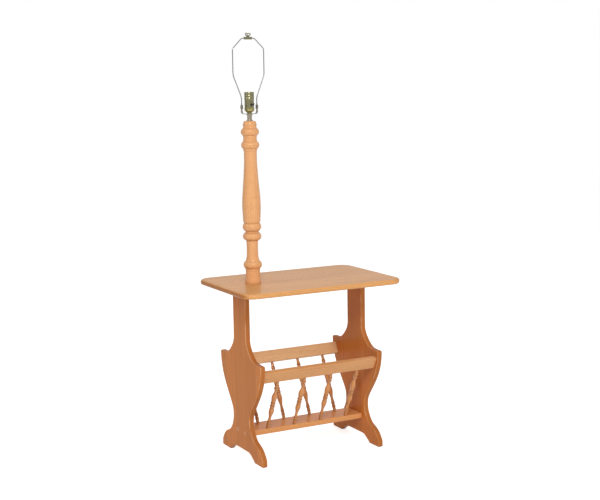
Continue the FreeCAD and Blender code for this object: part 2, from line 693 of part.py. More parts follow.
def harp_saddle():
    """Strap bent up into two arms; each arm narrows and carries a round post."""
    outer_x = HARP_LEG_X + SADDLE_THICKNESS / 2
    inner_x = outer_x - SADDLE_THICKNESS
    inner_bend = SADDLE_BEND_RADIUS - SADDLE_THICKNESS
    arm_top = SADDLE_POST_HEIGHT - SLEEVE_OVERLAP - RUNNING_CLEARANCE
    taper_foot = arm_top - SADDLE_TAPER
    outside = saddle_block(outer_x, 0, arm_top, SADDLE_BEND_RADIUS)
    inside = saddle_block(inner_x, SADDLE_THICKNESS, arm_top, inner_bend)
    right = [(SADDLE_WIDTH / 2, 0), (SADDLE_WIDTH / 2, taper_foot), (HARP_LEG_RADIUS, arm_top)]
    left = [(-y, z) for y, z in reversed(right)]
    side_view = Part.makePolygon([vec(-outer_x, y, z) for y, z in right + left + right[:1]])
    strap = outside.cut(inside).common(Part.Face(side_view).extrude(vec(2 * outer_x, 0, 0)))
    strap = strap.fuse(cylinder(NECK_COLLAR_RADIUS, 0, SADDLE_THICKNESS))
    post = cylinder(HARP_LEG_RADIUS, arm_top - SADDLE_TAPER / 2, SADDLE_POST_HEIGHT)
    strap = strap.fuse([moved(post, x=-HARP_LEG_X), moved(post, x=HARP_LEG_X)])
    strap = strap.cut(cylinder(PIPE_HOLE_RADIUS, 0, SADDLE_THICKNESS))
    return at_lamp(strap.removeSplitter(), z=SADDLE_SEAT)


def bent_path(points, radii):
    """Straight runs through the points, joined by tangent arcs of the given radii."""
    edges = []
    here = points[0]
    for before, corner, after, radius in zip(points, points[1:], points[2:], radii):
        back = (before - corner).normalize()
        ahead = (after - corner).normalize()
        half_angle = back.getAngle(ahead) / 2
        reach = radius / math.tan(half_angle)
        start = corner + back * reach
        end = corner + ahead * reach
        bisector = (back + ahead).normalize()
        middle = corner + bisector * (radius / math.sin(half_angle) - radius)
        edges.append(line(here, start))
        edges.append(arc(start, middle, end))
        here = end
    edges.append(line(here, points[-1]))
    return Part.Wire(edges)


def harp_leg_end():
    """Thicker lower end of a leg, rounded over where it meets the wire."""
    leg = Turning(0, 0)
    leg.step(HARP_LEG_RADIUS)
    leg.rise(HARP_LEG_END + HARP_WIRE_RADIUS - HARP_LEG_RADIUS)
    leg.curve_to([(HARP_WIRE_RADIUS, HARP_LEG_END)], (0, 1), (-1, 0))
    leg.step(0)
    return leg.solid()


def harp_wire():
    """One bent wire: up each leg, out round the bulb, and across the top."""
    wide = HARP_HALF_WIDTH
    half = [
        vec(HARP_LEG_X, 0, HARP_FOOT + HARP_LEG_END / 2),
        vec(HARP_LEG_X, 0, HARP_FOOT + HARP_STRAIGHT),
        vec(wide, 0, HARP_FOOT + HARP_STRAIGHT + HARP_FLARE_HEIGHT),
        vec(wide, 0, HARP_TOP - HARP_SHOULDER),
        vec(wide - HARP_SHOULDER, 0, HARP_TOP),
    ]
    other = [vec(-point.x, 0, point.z) for point in reversed(half)]
    half_radii = [HARP_FLARE_RADIUS, HARP_FLARE_RADIUS, HARP_BEND_RADIUS, HARP_BEND_RADIUS]
    path = bent_path(half + other, half_radii + half_radii[::-1])
    circle = Part.makeCircle(HARP_WIRE_RADIUS, half[0], vec(0, 0, 1))
    wire = path.makePipeShell([Part.Wire([circle])], True, False)
    end = harp_leg_end()
    ends = [moved(end, side * HARP_LEG_X, 0, HARP_FOOT) for side in (-1, 1)]
    return at_lamp(wire.fuse(ends))


def harp_sleeve(side):
    """Sliding ferrule over the joint of a harp leg and its post."""
    bore = HARP_LEG_RADIUS + RUNNING_CLEARANCE
    sleeve = Turning(bore, 0)
    sleeve.step(SLEEVE_RADIUS)
    sleeve.swell(SLEEVE_HEIGHT, SLEEVE_RADIUS, SLEEVE_WAIST_RADIUS)
    sleeve.step(bore)
    return at_lamp(moved(sleeve.solid(), x=side * HARP_LEG_X), z=POST_TOP - SLEEVE_OVERLAP)


def harp_top_plate():
    """Brass fitting on the wire's top run, with a round boss for the shade's stud."""
    half = TOP_PLATE_LENGTH / 2
    block = Part.makeBox(
        TOP_PLATE_LENGTH, TOP_PLATE_WIDTH, TOP_PLATE_HEIGHT,
        vec(-half, -TOP_PLATE_WIDTH / 2, HARP_TOP - TOP_PLATE_HEIGHT / 2))
    upright = [edge for edge in block.Edges if edge.BoundBox.ZLength > TOP_PLATE_HEIGHT / 2]
    block = block.makeFillet(TOP_PLATE_ROUND, upright)
    boss = cylinder(TOP_BOSS_RADIUS, HARP_TOP + TOP_PLATE_HEIGHT / 4, PLATE_TOP)
    wire_hole = Part.makeCylinder(
        HARP_WIRE_RADIUS + FIT_CLEARANCE, TOP_PLATE_LENGTH, vec(-half, 0, HARP_TOP), vec(1, 0, 0))
    pivot_hole = cylinder(
        STUD_RADIUS + RUNNING_CLEARANCE, PLATE_TOP - STUD_DEPTH - RUNNING_CLEARANCE, PLATE_TOP)
    return at_lamp(block.fuse(boss).cut(wire_hole).cut(pivot_hole).removeSplitter())


def shade_stud():
    """Pivot, flange, plain shoulder and thread, in one turned piece."""
    stud = Turning(0, -STUD_DEPTH)
    stud.step(STUD_RADIUS)
    stud.rise(STUD_DEPTH)
    stud.step(STUD_FLANGE_RADIUS)
    stud.rise(STUD_FLANGE_HEIGHT)
    stud.step(STUD_SHOULDER_RADIUS)
    stud.rise(STUD_SHOULDER_HEIGHT)
    stud.step(STUD_RADIUS)
    stud.rise(STUD_LENGTH - STUD_POINT)
    stud.line_to(STUD_RADIUS - STUD_POINT, stud.here.z + STUD_POINT)
    stud.step(0)
    return at_lamp(stud.solid(), z=STUD_SEAT)


def finial():
    """Low turned knob, screwed on the stud to hold a shade."""
    bore = STUD_RADIUS + RUNNING_CLEARANCE
    side_height = FINIAL_HEIGHT - FINIAL_FOOT_HEIGHT - FINIAL_CROWN_HEIGHT
    knob = Turning(bore, 0)
    knob.step(FINIAL_FOOT_RADIUS)
    knob.curve_to([(FINIAL_RADIUS, FINIAL_FOOT_HEIGHT)], (1, 0), (0, 1))
    knob.rise(side_height)
    knob.curve_to([(FINIAL_CREST_RADIUS, FINIAL_HEIGHT)], (0, 1), (-1, 0))
    knob.step(0)
    knob.line_to(0, STUD_LENGTH + RUNNING_CLEARANCE)
    knob.step(bore)
    return at_lamp(knob.solid(), z=FINIAL_SEAT)


# ---------------------------------------------------------------- lamp socket
def socket_cap():
    """Domed lower shell, on a threaded hub, with a straight rim that takes the upper shell."""
    inner = CAP_RADIUS - SHEET_METAL
    rim_foot = CAP_HEIGHT - CAP_RIM_HEIGHT
    cap = Turning(PIPE_HOLE_RADIUS, 0)
    cap.step(CAP_HUB_RADIUS)
    cap.rise(CAP_HUB_HEIGHT)
    cap.curve_to([(CAP_RADIUS, rim_foot)], (CAP_SPREAD, 1), (0, 1))
    cap.rise(CAP_RIM_HEIGHT)
    cap.step(inner)
    cap.line_to(inner, rim_foot)
    cap.curve_to([(CAP_HUB_RADIUS, CAP_HUB_HEIGHT + SHEET_METAL)], (0, -1), (-CAP_SPREAD, -1))
    cap.step(PIPE_HOLE_RADIUS)
    return at_lamp(cap.solid(), z=CAP_SEAT)


def key_hole():
    """Cut for the switch key's stem, from the lamp axis out through the front."""
    radius = KEY_STEM_RADIUS + KEY_SLOT_CLEARANCE
    return Part.makeCylinder(radius, 2 * CAP_RADIUS, vec(0, 0, KEY_Z), vec(0, -1, 0))


def socket_shell():
    """Thin tube with rolled ribs below its open top, and a hole for the key."""
    inner = SHELL_RADIUS - SHEET_METAL
    shell = Turning(inner, SHELL_FOOT)
    shell.step(SHELL_RADIUS)
    shell.rise(SHELL_HEIGHT - 2 * SHELL_RIB_COUNT * SHELL_RIB_HEIGHT)
    for rib in range(SHELL_RIB_COUNT):
        shell.rise(SHELL_RIB_HEIGHT)
        shell.swell(SHELL_RIB_HEIGHT, SHELL_RADIUS, SHELL_RADIUS + SHELL_RIB_RISE)
    shell.step(inner)
    return at_lamp(shell.solid().cut(key_hole()))


def socket_liner():
    foot = SHELL_FOOT + SHEET_METAL
    top = SHELL_FOOT + SHELL_HEIGHT - SHEET_METAL
    liner = ring(LINER_RADIUS, LINER_RADIUS - LINER_THICKNESS, foot, top)
    return at_lamp(liner.cut(key_hole()))


def at_terminals(shape):
    """Copies of a shape that points along +X, one in each side of the socket body."""
    placed = moved(shape, SOCKET_BODY_RADIUS - TERMINAL_POCKET_DEPTH, 0, TERMINAL_Z)
    return [placed, turned(placed, vec(0, 0, 1), 180)]


def socket_body():
    """Insulating block with a bore for the key's stem and a pocket for each terminal."""
    stem_end = SOCKET_BODY_RADIUS - KEY_STEM_DEPTH - RUNNING_CLEARANCE
    stem_hole = Part.makeCylinder(
        KEY_STEM_RADIUS + RUNNING_CLEARANCE, SOCKET_BODY_RADIUS,
        vec(0, -stem_end, KEY_Z), vec(0, -1, 0))
    half = TERMINAL_POCKET_WIDTH / 2
    pocket = Part.makeBox(
        SOCKET_BODY_RADIUS, TERMINAL_POCKET_WIDTH, TERMINAL_POCKET_WIDTH, vec(0, -half, -half))
    shank_hole = Part.makeCylinder(
        TERMINAL_SHANK_RADIUS + FIT_CLEARANCE, TERMINAL_SHANK_LENGTH + TERMINAL_POCKET_DEPTH,
        vec(-TERMINAL_SHANK_LENGTH, 0, 0), vec(1, 0, 0))
    body = cylinder(SOCKET_BODY_RADIUS, SHELL_FOOT, SOCKET_BODY_TOP)
    return at_lamp(drilled(body, [stem_hole] + at_terminals(pocket.fuse(shank_hole))))


def terminal_screws():
    """Two cheese-head screws that point into the sides of the socket body."""
    head, height = TERMINAL_HEAD_RADIUS, TERMINAL_HEAD_HEIGHT
    length = TERMINAL_SHANK_LENGTH
    blank = Part.makeCylinder(head, height, vec(0, 0, 0), vec(1, 0, 0))
    shank = Part.makeCylinder(TERMINAL_SHANK_RADIUS, length, vec(-length, 0, 0), vec(1, 0, 0))
    slot = Part.makeBox(
        height, 2 * head, SHEET_METAL, vec(height / 2, -head, -SHEET_METAL / 2))
    return at_lamp(Part.makeCompound(at_terminals(blank.fuse(shank).cut(slot))))


def screw_shell():
    """Cup that takes the bulb's cap: it narrows at its foot, around the contact."""
    bore = SCREW_SHELL_BORE_RADIUS
    low_bore = bore - SCREW_SHELL_STEP_WIDTH
    ledge = bore - SCREW_SHELL_LEDGE
    cup = Turning(ledge, 0)
    cup.step(low_bore + SHEET_METAL)
    cup.rise(SCREW_SHELL_STEP - SHEET_METAL)
    cup.step(bore + SHEET_METAL)
    cup.line_to(bore + SHEET_METAL, SCREW_SHELL_DEPTH)
    cup.step(bore)
    cup.line_to(bore, SCREW_SHELL_STEP)
    cup.step(low_bore)
    cup.line_to(low_bore, SHEET_METAL)
    cup.step(ledge)
    return at_lamp(cup.solid(), z=SOCKET_BODY_TOP)


def centre_contact():
    """Springy tongue under the bulb's tip: a foot, a ramp and a raised end."""
    half = CONTACT_LENGTH / 2
    bend = CONTACT_LENGTH / 6
    under = [(-half, 0), (-bend, 0), (bend, CONTACT_LIFT), (half, CONTACT_LIFT)]
    over = [(x, z + SHEET_METAL) for x, z in reversed(under)]
    side_view = Part.makePolygon([vec(x, -CONTACT_WIDTH / 2, z) for x, z in under + over + under[:1]])
    tongue = Part.Face(side_view).extrude(vec(0, CONTACT_WIDTH, 0))
    return at_lamp(tongue, z=SOCKET_BODY_TOP)


def switch_key():
    """Black turn key: a stem into the socket body, and a collar and flat paddle outside."""
    stem_start = SOCKET_BODY_RADIUS - KEY_STEM_DEPTH
    stem_end = SHELL_RADIUS + KEY_NECK_LENGTH
    forward = vec(0, -1, 0)
    stem = Part.makeCylinder(
        KEY_STEM_RADIUS, stem_end - stem_start, vec(0, -stem_start, 0), forward)
    collar = Part.makeCylinder(
        KEY_COLLAR_RADIUS, KEY_COLLAR_LENGTH, vec(0, KEY_COLLAR_LENGTH - stem_end, 0), forward)
    paddle = Part.makeBox(
        KEY_PADDLE_WIDTH, KEY_PADDLE_LENGTH, KEY_PADDLE_THICKNESS,
        vec(-KEY_PADDLE_WIDTH / 2, -stem_end - KEY_PADDLE_LENGTH, -KEY_PADDLE_THICKNESS / 2))
    half_thick = KEY_PADDLE_THICKNESS / 2
    corners = [edge for edge in paddle.Edges if edge.BoundBox.ZLength > half_thick]
    paddle = paddle.makeFillet(KEY_PADDLE_CORNER, corners)
    rims = [edge for edge in paddle.Edges if edge.BoundBox.ZLength < half_thick]
    paddle = paddle.makeFillet(KEY_PADDLE_ROUND, rims)
    key = stem.fuse([collar, paddle]).removeSplitter()
    return at_lamp(turned(key, vec(0, 1, 0), -KEY_TILT), z=KEY_Z)


# ---------------------------------------------------------------- all the pieces
def build():
    os.makedirs("parts", exist_ok=True)
    for name, end in (("left", -1), ("right", 1)):
        save(name + "_end_panel", end_panel(end))
        save(name + "_top_cleat", top_cleat(end))
        save(name + "_harp_sleeve", harp_sleeve(end))
    blank = spindle_blank()
    for name, side in (("front", -1), ("back", 1)):
        save(name + "_rail", rail(side))
        for number, x in enumerate(spindle_xs(), start=1):
            save(f"{name}_spindle_{number}", in_rack(blank, x, side))
    for piece in (
            table_top, shelf, panel_screws, screw_plugs, cleat_screws,
            lamp_column, lamp_pipe, pipe_washer, pipe_nut, cord_bushing, lamp_neck,
            harp_saddle, harp_wire, harp_top_plate, shade_stud, finial,
            socket_cap, socket_shell, socket_liner, socket_body, terminal_screws,
            screw_shell, centre_contact, switch_key):
        save(piece.__name__, piece())


build()
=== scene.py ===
import math

import bmesh
import bpy
import mathutils
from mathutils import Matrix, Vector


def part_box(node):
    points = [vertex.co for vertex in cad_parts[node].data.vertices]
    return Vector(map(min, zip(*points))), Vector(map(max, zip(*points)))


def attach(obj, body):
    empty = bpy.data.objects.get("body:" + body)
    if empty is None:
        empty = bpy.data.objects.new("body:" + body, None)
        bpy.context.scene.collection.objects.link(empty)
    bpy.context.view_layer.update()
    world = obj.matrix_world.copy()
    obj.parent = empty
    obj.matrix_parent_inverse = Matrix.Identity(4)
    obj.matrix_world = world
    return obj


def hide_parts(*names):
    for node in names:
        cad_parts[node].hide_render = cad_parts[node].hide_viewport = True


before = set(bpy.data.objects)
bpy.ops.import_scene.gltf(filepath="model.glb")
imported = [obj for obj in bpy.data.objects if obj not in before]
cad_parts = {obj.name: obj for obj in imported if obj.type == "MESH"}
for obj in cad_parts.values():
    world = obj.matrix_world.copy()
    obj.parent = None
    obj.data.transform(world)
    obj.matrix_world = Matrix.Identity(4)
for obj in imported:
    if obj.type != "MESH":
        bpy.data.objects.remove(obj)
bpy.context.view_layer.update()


# ------------------------------------------------------------------ the camera
# The lamp table was photographed from its front left, from about the height of the lamp's
# column, with a long lens that was held very slightly out of level.
def direction(turn, rise):
    """Turned by one angle from the table's front to its right, and raised by the other."""
    return mathutils.Vector((
        math.sin(turn) * math.cos(rise), -math.cos(turn) * math.cos(rise), math.sin(rise)))


def new_object(name, data):
    """New object in the scene."""
    made = bpy.data.objects.new(name, data)
    bpy.context.scene.collection.objects.link(made)
    return made


camera_azimuth = math.radians(-27.792)
camera_rise = math.radians(8.028)
camera_roll = math.radians(-0.929)
camera_target = mathutils.Vector((0.00346, 0.0, 0.7330))
camera_distance = 4.3829

back = direction(camera_azimuth, camera_rise)
level_right = mathutils.Vector((math.cos(camera_azimuth), math.sin(camera_azimuth), 0.0))
level_up = back.cross(level_right)
right = level_right * math.cos(camera_roll) + level_up * math.sin(camera_roll)
up = level_up * math.cos(camera_roll) - level_right * math.sin(camera_roll)

lens = bpy.data.cameras.new("camera")
lens.sensor_fit = "HORIZONTAL"
lens.sensor_width = 36.0
lens.lens = 72.32
camera = new_object("camera", lens)
camera_turn = mathutils.Matrix((right, up, back)).transposed().to_4x4()
camera.matrix_world = (
    mathutils.Matrix.Translation(camera_target + back * camera_distance) @ camera_turn)
bpy.context.scene.camera = camera
bpy.context.scene.view_settings.view_transform = "Standard"


# ------------------------------------------------------------------ the studio
# White paper under the table, white walls all round, and four soft boxes: the strongest
# above the camera, a low one in front, and weaker ones to the left and behind.
def add_node(tree, kind, given=None, **settings):
    """New shader node; given maps its input sockets to values or to other nodes' outputs."""
    made = tree.nodes.new(kind)
    for name, value in settings.items():
        setattr(made, name, value)
    for socket, value in (given or {}).items():
        if isinstance(value, bpy.types.NodeSocket):
            tree.links.new(value, made.inputs[socket])
        else:
            made.inputs[socket].default_value = value
    return made


def empty_material(name):
    """New material without nodes, and its node tree."""
    material = bpy.data.materials.new(name)
    material.use_nodes = True
    material.node_tree.nodes.clear()
    return material, material.node_tree


def calculate(tree, operation, first, second=0.0, third=0.0):
    """Output of one Math node."""
    made = add_node(tree, "ShaderNodeMath", {0: first, 1: second, 2: third}, operation=operation)
    return made.outputs[0]


def seen_directly_or_mirrored(tree):
    """1 for what the camera sees, also in metal or through glass, and 0 for lighting."""
    path = add_node(tree, "ShaderNodeLightPath").outputs
    mirrored = calculate(tree, "MAXIMUM", path["Is Glossy Ray"], path["Is Transmission Ray"])
    return calculate(tree, "MAXIMUM", path["Is Camera Ray"], mirrored)


def on_object(tree):
    """Place in the object's own coordinates."""
    return add_node(tree, "ShaderNodeTexCoord").outputs["Object"]


studio_white = (1.0, 1.0, 1.0, 1.0)
wall_light = 0.32        # what the walls throw on the object
paper_colour = (0.86, 0.86, 0.86, 1.0)
paper_glow = 0.72        # lifts the paper to white, and leaves the object's shadow on it

walls = bpy.data.worlds.new("studio walls")
walls.use_nodes = True
walls.node_tree.nodes.clear()
seen = seen_directly_or_mirrored(walls.node_tree)
brightness = add_node(
    walls.node_tree, "ShaderNodeMapRange", {"Value": seen, "To Min": wall_light, "To Max": 1.0})
sky = add_node(
    walls.node_tree, "ShaderNodeBackground",
    {"Color": studio_white, "Strength": brightness.outputs[0]})
add_node(walls.node_tree, "ShaderNodeOutputWorld", {"Surface": sky.outputs[0]})
bpy.context.scene.world = walls

paper_material, paper_tree = empty_material("white paper")
paper_fibre = add_node(
    paper_tree, "ShaderNodeTexNoise", {"Vector": on_object(paper_tree), "Scale": 60.0})
paper_bump = add_node(
    paper_tree, "ShaderNodeBump",
    {"Height": paper_fibre.outputs[0], "Distance": 0.0005, "Strength": 0.1})
paper_face = add_node(
    paper_tree, "ShaderNodeBsdfDiffuse",
    {"Color": paper_colour, "Normal": paper_bump.outputs[0]})
glow_share = calculate(
    paper_tree, "MULTIPLY", seen_directly_or_mirrored(paper_tree), paper_glow)
glow = add_node(
    paper_tree, "ShaderNodeEmission", {"Color": studio_white, "Strength": glow_share})
lit_paper = add_node(
    paper_tree, "ShaderNodeAddShader", {0: paper_face.outputs[0], 1: glow.outputs[0]})
add_node(paper_tree, "ShaderNodeOutputMaterial", {"Surface": lit_paper.outputs[0]})

paper_reach = 9.0        # from the table to the paper's edges
paper_corners = [(x * paper_reach, y * paper_reach, 0.0)
                 for x, y in ((-1, -1), (1, -1), (1, 1), (-1, 1))]
paper_mesh = bpy.data.meshes.new("paper")
paper_mesh.from_pydata(paper_corners, [], [(0, 1, 2, 3)])
paper_mesh.materials.append(paper_material)
paper = new_object("paper", paper_mesh)

# Each soft box: its name, how far it is turned from the table's front to its right, its
# rise in degrees, its side in metres and its watts.
softboxes = (
    ("key softbox", -27.0, 35.0, 1.2, 80.0),
    ("left softbox", -90.0, 35.0, 1.2, 26.0),
    ("low front softbox", 5.0, 8.0, 1.2, 56.0),
    ("back softbox", 150.0, 40.0, 1.6, 26.0))
softbox_aim = mathutils.Vector((0.0, 0.0, 0.6))
softbox_distance = 4.6
for softbox_name, turn, rise, side, watts in softboxes:
    away = direction(math.radians(turn), math.radians(rise))
    lamp = bpy.data.lights.new(softbox_name, "AREA")
    lamp.size = side
    lamp.energy = watts
    softbox = new_object(softbox_name, lamp)
    softbox.location = softbox_aim + softbox_distance * away
    softbox.rotation_euler = away.to_track_quat("Z", "Y").to_euler()
    # The low box would show as a white patch in the lacquer, seen from behind the table.
    softbox.visible_glossy = softbox_name != "low front softbox"


# ------------------------------------------------------------------ the table top
# A 19 mm board of light oak, glued up from four staves that run along the table, with
# rounded corners and edges. It is sprayed with a satin lacquer and screwed on from below.
def new_group(name, given, made):
    """Shader node group with the named inputs and outputs, and its two inner end nodes."""
    group = bpy.data.node_groups.new(name, "ShaderNodeTree")
    for label, kind, value in given:
        socket = group.interface.new_socket(label, in_out="INPUT", socket_type=kind)
        socket.default_value = value
    for label, kind in made:
        group.interface.new_socket(label, in_out="OUTPUT", socket_type=kind)
    return group, group.nodes.new("NodeGroupInput").outputs, group.nodes.new("NodeGroupOutput")


def stretched(tree, vector, across, along):
    """Scales a place by one factor across the grain and by another along it."""
    return add_node(
        tree, "ShaderNodeVectorMath", {0: vector, 1: (across, across, along)},
        operation="MULTIPLY").outputs[0]


def streaks(tree, place, across, along, detail, roughness=0.5):
    """Noise with about so many streaks to the metre, counted across and along the grain."""
    return add_node(
        tree, "ShaderNodeTexNoise",
        {"Vector": stretched(tree, place, across, along), "Scale": 1.0, "Detail": detail,
         "Roughness": roughness}).outputs["Fac"]


def blend(tree, share, first, second):
    """Colour mix: the first colour where share is 0 and the second where it is 1."""
    mixed = add_node(
        tree, "ShaderNodeMix", {"Factor": share, 6: first, 7: second}, data_type="RGBA")
    return mixed.outputs[2]


def ramp(tree, value, low, high):
    """0 below low, 1 above high, and a smooth rise between them."""
    return add_node(
        tree, "ShaderNodeMapRange", {"Value": value, "From Min": low, "From Max": high},
        interpolation_type="SMOOTHSTEP").outputs[0]


def opposite(tree, share):
    """1 where the share is 0, and 0 where it is 1."""
    return calculate(tree, "SUBTRACT", 1.0, share)


# The grain runs along Z of the given place, and staves lie side by side along Y.
oak_grain, given, made = new_group(
    "oak grain",
    [("Place", "NodeSocketVector", (0.0, 0.0, 0.0)),
     ("Stave Width", "NodeSocketFloat", 1.0),
     ("Ring Width", "NodeSocketFloat", 0.004),
     ("Batch", "NodeSocketFloat", 0.0),
     ("Stave Difference", "NodeSocketFloat", 0.1),
     ("Pale Wood", "NodeSocketColor", (0.7, 0.4, 0.2, 1.0)),
     ("Dark Wood", "NodeSocketColor", (0.5, 0.25, 0.1, 1.0)),
     ("Pore Colour", "NodeSocketColor", (0.25, 0.1, 0.035, 1.0)),
     ("Sheen Roughness", "NodeSocketFloat", 0.4)],
    [("Colour", "NodeSocketColor"), ("Roughness", "NodeSocketFloat"),
     ("Height", "NodeSocketFloat")])
tree = oak_grain
across = add_node(tree, "ShaderNodeSeparateXYZ", {0: given["Place"]}).outputs
in_staves = calculate(tree, "DIVIDE", across["Y"], given["Stave Width"])
stave = calculate(tree, "FLOOR", calculate(tree, "ADD", in_staves, 0.5))
lot_step = 1.618        # not a whole number, so staves of two batches don't share a lot
lot = add_node(
    tree, "ShaderNodeTexWhiteNoise",
    {"W": calculate(tree, "MULTIPLY_ADD", stave, lot_step, given["Batch"])},
    noise_dimensions="1D").outputs
off_centre = add_node(
    tree, "ShaderNodeVectorMath", {0: lot["Color"], 1: (0.5, 0.5, 0.5)},
    operation="SUBTRACT").outputs[0]
# Each stave is sawn from its own place in a log, about 50 mm from the log's heart.
log_heart, log_spread = (0.052, 0.0, 0.0), (0.05, 0.09, 4.0)
log_shift = add_node(
    tree, "ShaderNodeVectorMath", {0: off_centre, 1: log_spread, 2: log_heart},
    operation="MULTIPLY_ADD").outputs[0]
stave_middle = add_node(
    tree, "ShaderNodeCombineXYZ",
    {"Y": calculate(tree, "MULTIPLY", stave, given["Stave Width"])}).outputs[0]
in_stave = add_node(
    tree, "ShaderNodeVectorMath", {0: given["Place"], 1: stave_middle},
    operation="SUBTRACT").outputs[0]
in_log = add_node(
    tree, "ShaderNodeVectorMath", {0: in_stave, 1: log_shift}, operation="ADD").outputs[0]
wave_at_scale_1 = 0.31416        # width of one wave of the texture below
ring_scale = calculate(tree, "DIVIDE", wave_at_scale_1, given["Ring Width"])
rings = add_node(
    tree, "ShaderNodeTexWave",
    {"Vector": stretched(tree, in_log, 1.0, 0.055), "Scale": ring_scale, "Distortion": 5.0,
     "Detail": 3.0, "Detail Scale": 0.22, "Detail Roughness": 0.5},
    wave_type="RINGS", rings_direction="Z", wave_profile="SAW").outputs["Fac"]
fibres = streaks(tree, in_log, 260.0, 5.0, 4.0, roughness=0.62)
clouds = streaks(tree, in_log, 22.0, 3.5, 2.0)
pore_field = streaks(tree, in_log, 1500.0, 75.0, 1.0)
early_wood = opposite(tree, ramp(tree, rings, 0.15, 0.75))
pores = calculate(
    tree, "MULTIPLY", ramp(tree, pore_field, 0.56, 0.7),
    calculate(tree, "MULTIPLY_ADD", early_wood, 0.8, 0.2))
from_middle = calculate(tree, "ABSOLUTE", calculate(tree, "SUBTRACT", in_staves, stave))
joint_distance = calculate(
    tree, "MULTIPLY", calculate(tree, "SUBTRACT", 0.5, from_middle), given["Stave Width"])
glue_line = opposite(tree, ramp(tree, joint_distance, 0.0001, 0.0005))
early_share, fibre_share, cloud_share = 0.4, 0.42, 0.22
figure = calculate(
    tree, "ADD", calculate(tree, "MULTIPLY", early_wood, early_share),
    calculate(tree, "MULTIPLY", ramp(tree, fibres, 0.3, 0.72), fibre_share))
figure = calculate(tree, "MULTIPLY_ADD", ramp(tree, clouds, 0.3, 0.75), cloud_share, figure)
wood = blend(tree, figure, given["Pale Wood"], given["Dark Wood"])
tone = calculate(
    tree, "MULTIPLY_ADD", calculate(tree, "SUBTRACT", lot["Value"], 0.5),
    given["Stave Difference"], 1.0)
wood = add_node(
    tree, "ShaderNodeVectorMath", {0: wood, "Scale": tone}, operation="SCALE").outputs[0]
for mark, mark_share in ((pores, 0.55), (glue_line, 0.45)):
    wood = blend(
        tree, calculate(tree, "MULTIPLY", mark, mark_share), wood, given["Pore Colour"])
tree.links.new(wood, made.inputs["Colour"])
uneven = calculate(tree, "MULTIPLY", calculate(tree, "SUBTRACT", fibres, 0.5), 0.12)
roughness = calculate(
    tree, "ADD", given["Sheen Roughness"],
    calculate(tree, "MULTIPLY_ADD", pores, 0.16, uneven))
tree.links.new(roughness, made.inputs["Roughness"])
# Glue lines and pores lie lower than the fibres beside them.
glue_height, pore_height, fibre_height = -0.5, -0.6, 0.35
hollows = calculate(
    tree, "MULTIPLY_ADD", glue_line, glue_height,
    calculate(tree, "MULTIPLY", pores, pore_height))
height = calculate(tree, "MULTIPLY_ADD", fibres, fibre_height, hollows)
tree.links.new(height, made.inputs["Height"])

# Finish that is paler along edges, partly from wear and partly as a painted highlight, and darker
# in inner corners, partly from gathered stain and partly as painted shade.
rubbed_finish, given, made = new_group(
    "rubbed finish",
    [("Colour", "NodeSocketColor", (0.6, 0.3, 0.1, 1.0)),
     ("Wear And Sheen Colour", "NodeSocketColor", (0.8, 0.5, 0.3, 1.0)),
     ("Corner Stain And Shade Colour", "NodeSocketColor", (0.3, 0.13, 0.05, 1.0)),
     ("Edge Width", "NodeSocketFloat", 0.003),
     ("Wear And Sheen On Edges", "NodeSocketFloat", 0.5),
     ("Stain And Shade In Corners", "NodeSocketFloat", 0.5)],
    [("Colour", "NodeSocketColor")])
tree = rubbed_finish
softened = add_node(
    tree, "ShaderNodeBevel", {"Radius": given["Edge Width"]}, samples=4).outputs[0]
facing = add_node(
    tree, "ShaderNodeVectorMath",
    {0: softened, 1: add_node(tree, "ShaderNodeNewGeometry").outputs["Normal"]},
    operation="DOT_PRODUCT").outputs["Value"]
handled = add_node(
    tree, "ShaderNodeTexNoise",
    {"Vector": on_object(tree), "Scale": 38.0, "Detail": 3.0}).outputs["Fac"]
# Paler along edges: partly wear, partly a painted highlight.
edge = calculate(
    tree, "MULTIPLY", ramp(tree, facing, 0.995, 0.86), ramp(tree, handled, 0.28, 0.66))
worn_and_sheened = blend(
    tree, calculate(tree, "MULTIPLY", edge, given["Wear And Sheen On Edges"]), given["Colour"],
    given["Wear And Sheen Colour"])
# Darker where ambient occlusion finds an inner corner: partly gathered stain, partly painted
# shade.
corner_reach = 0.012
openness = add_node(
    tree, "ShaderNodeAmbientOcclusion", {"Distance": corner_reach}, samples=6).outputs["AO"]
corner = calculate(
    tree, "MULTIPLY", opposite(tree, ramp(tree, openness, 0.2, 0.95)), given["Stain And Shade In Corners"])
tree.links.new(blend(tree, corner, worn_and_sheened, given["Corner Stain And Shade Colour"]), made.inputs["Colour"])


def placed_group(tree, group, given):
    """Outputs of a node group that is put in a tree with the given values."""
    return add_node(tree, "ShaderNodeGroup", given, node_tree=group).outputs


def facing_along(tree, direction, low, high):
    """1 where the surface faces along the direction, either way, and 0 where it faces aside."""
    cosine = add_node(
        tree, "ShaderNodeVectorMath",
        {0: add_node(tree, "ShaderNodeNewGeometry").outputs["Normal"], 1: direction},
        operation="DOT_PRODUCT").outputs["Value"]
    return ramp(tree, calculate(tree, "ABSOLUTE", cosine), low, high)


def place_in_wood(tree, centre, grain_turn):
    """Place from the piece's centre, turned so that the grain runs along Z."""
    return add_node(
        tree, "ShaderNodeMapping",
        {"Vector": on_object(tree), "Location": centre, "Rotation": grain_turn},
        vector_type="TEXTURE").outputs[0]


def raised_surface(tree, height, depth, strength, given):
    """Shader with the given values and the height as its bump, put out as the material."""
    relief = add_node(
        tree, "ShaderNodeBump", {"Height": height, "Distance": depth, "Strength": strength})
    shader = add_node(
        tree, "ShaderNodeBsdfPrincipled", {**given, "Normal": relief.outputs[0]})
    add_node(tree, "ShaderNodeOutputMaterial", {"Surface": shader.outputs[0]})


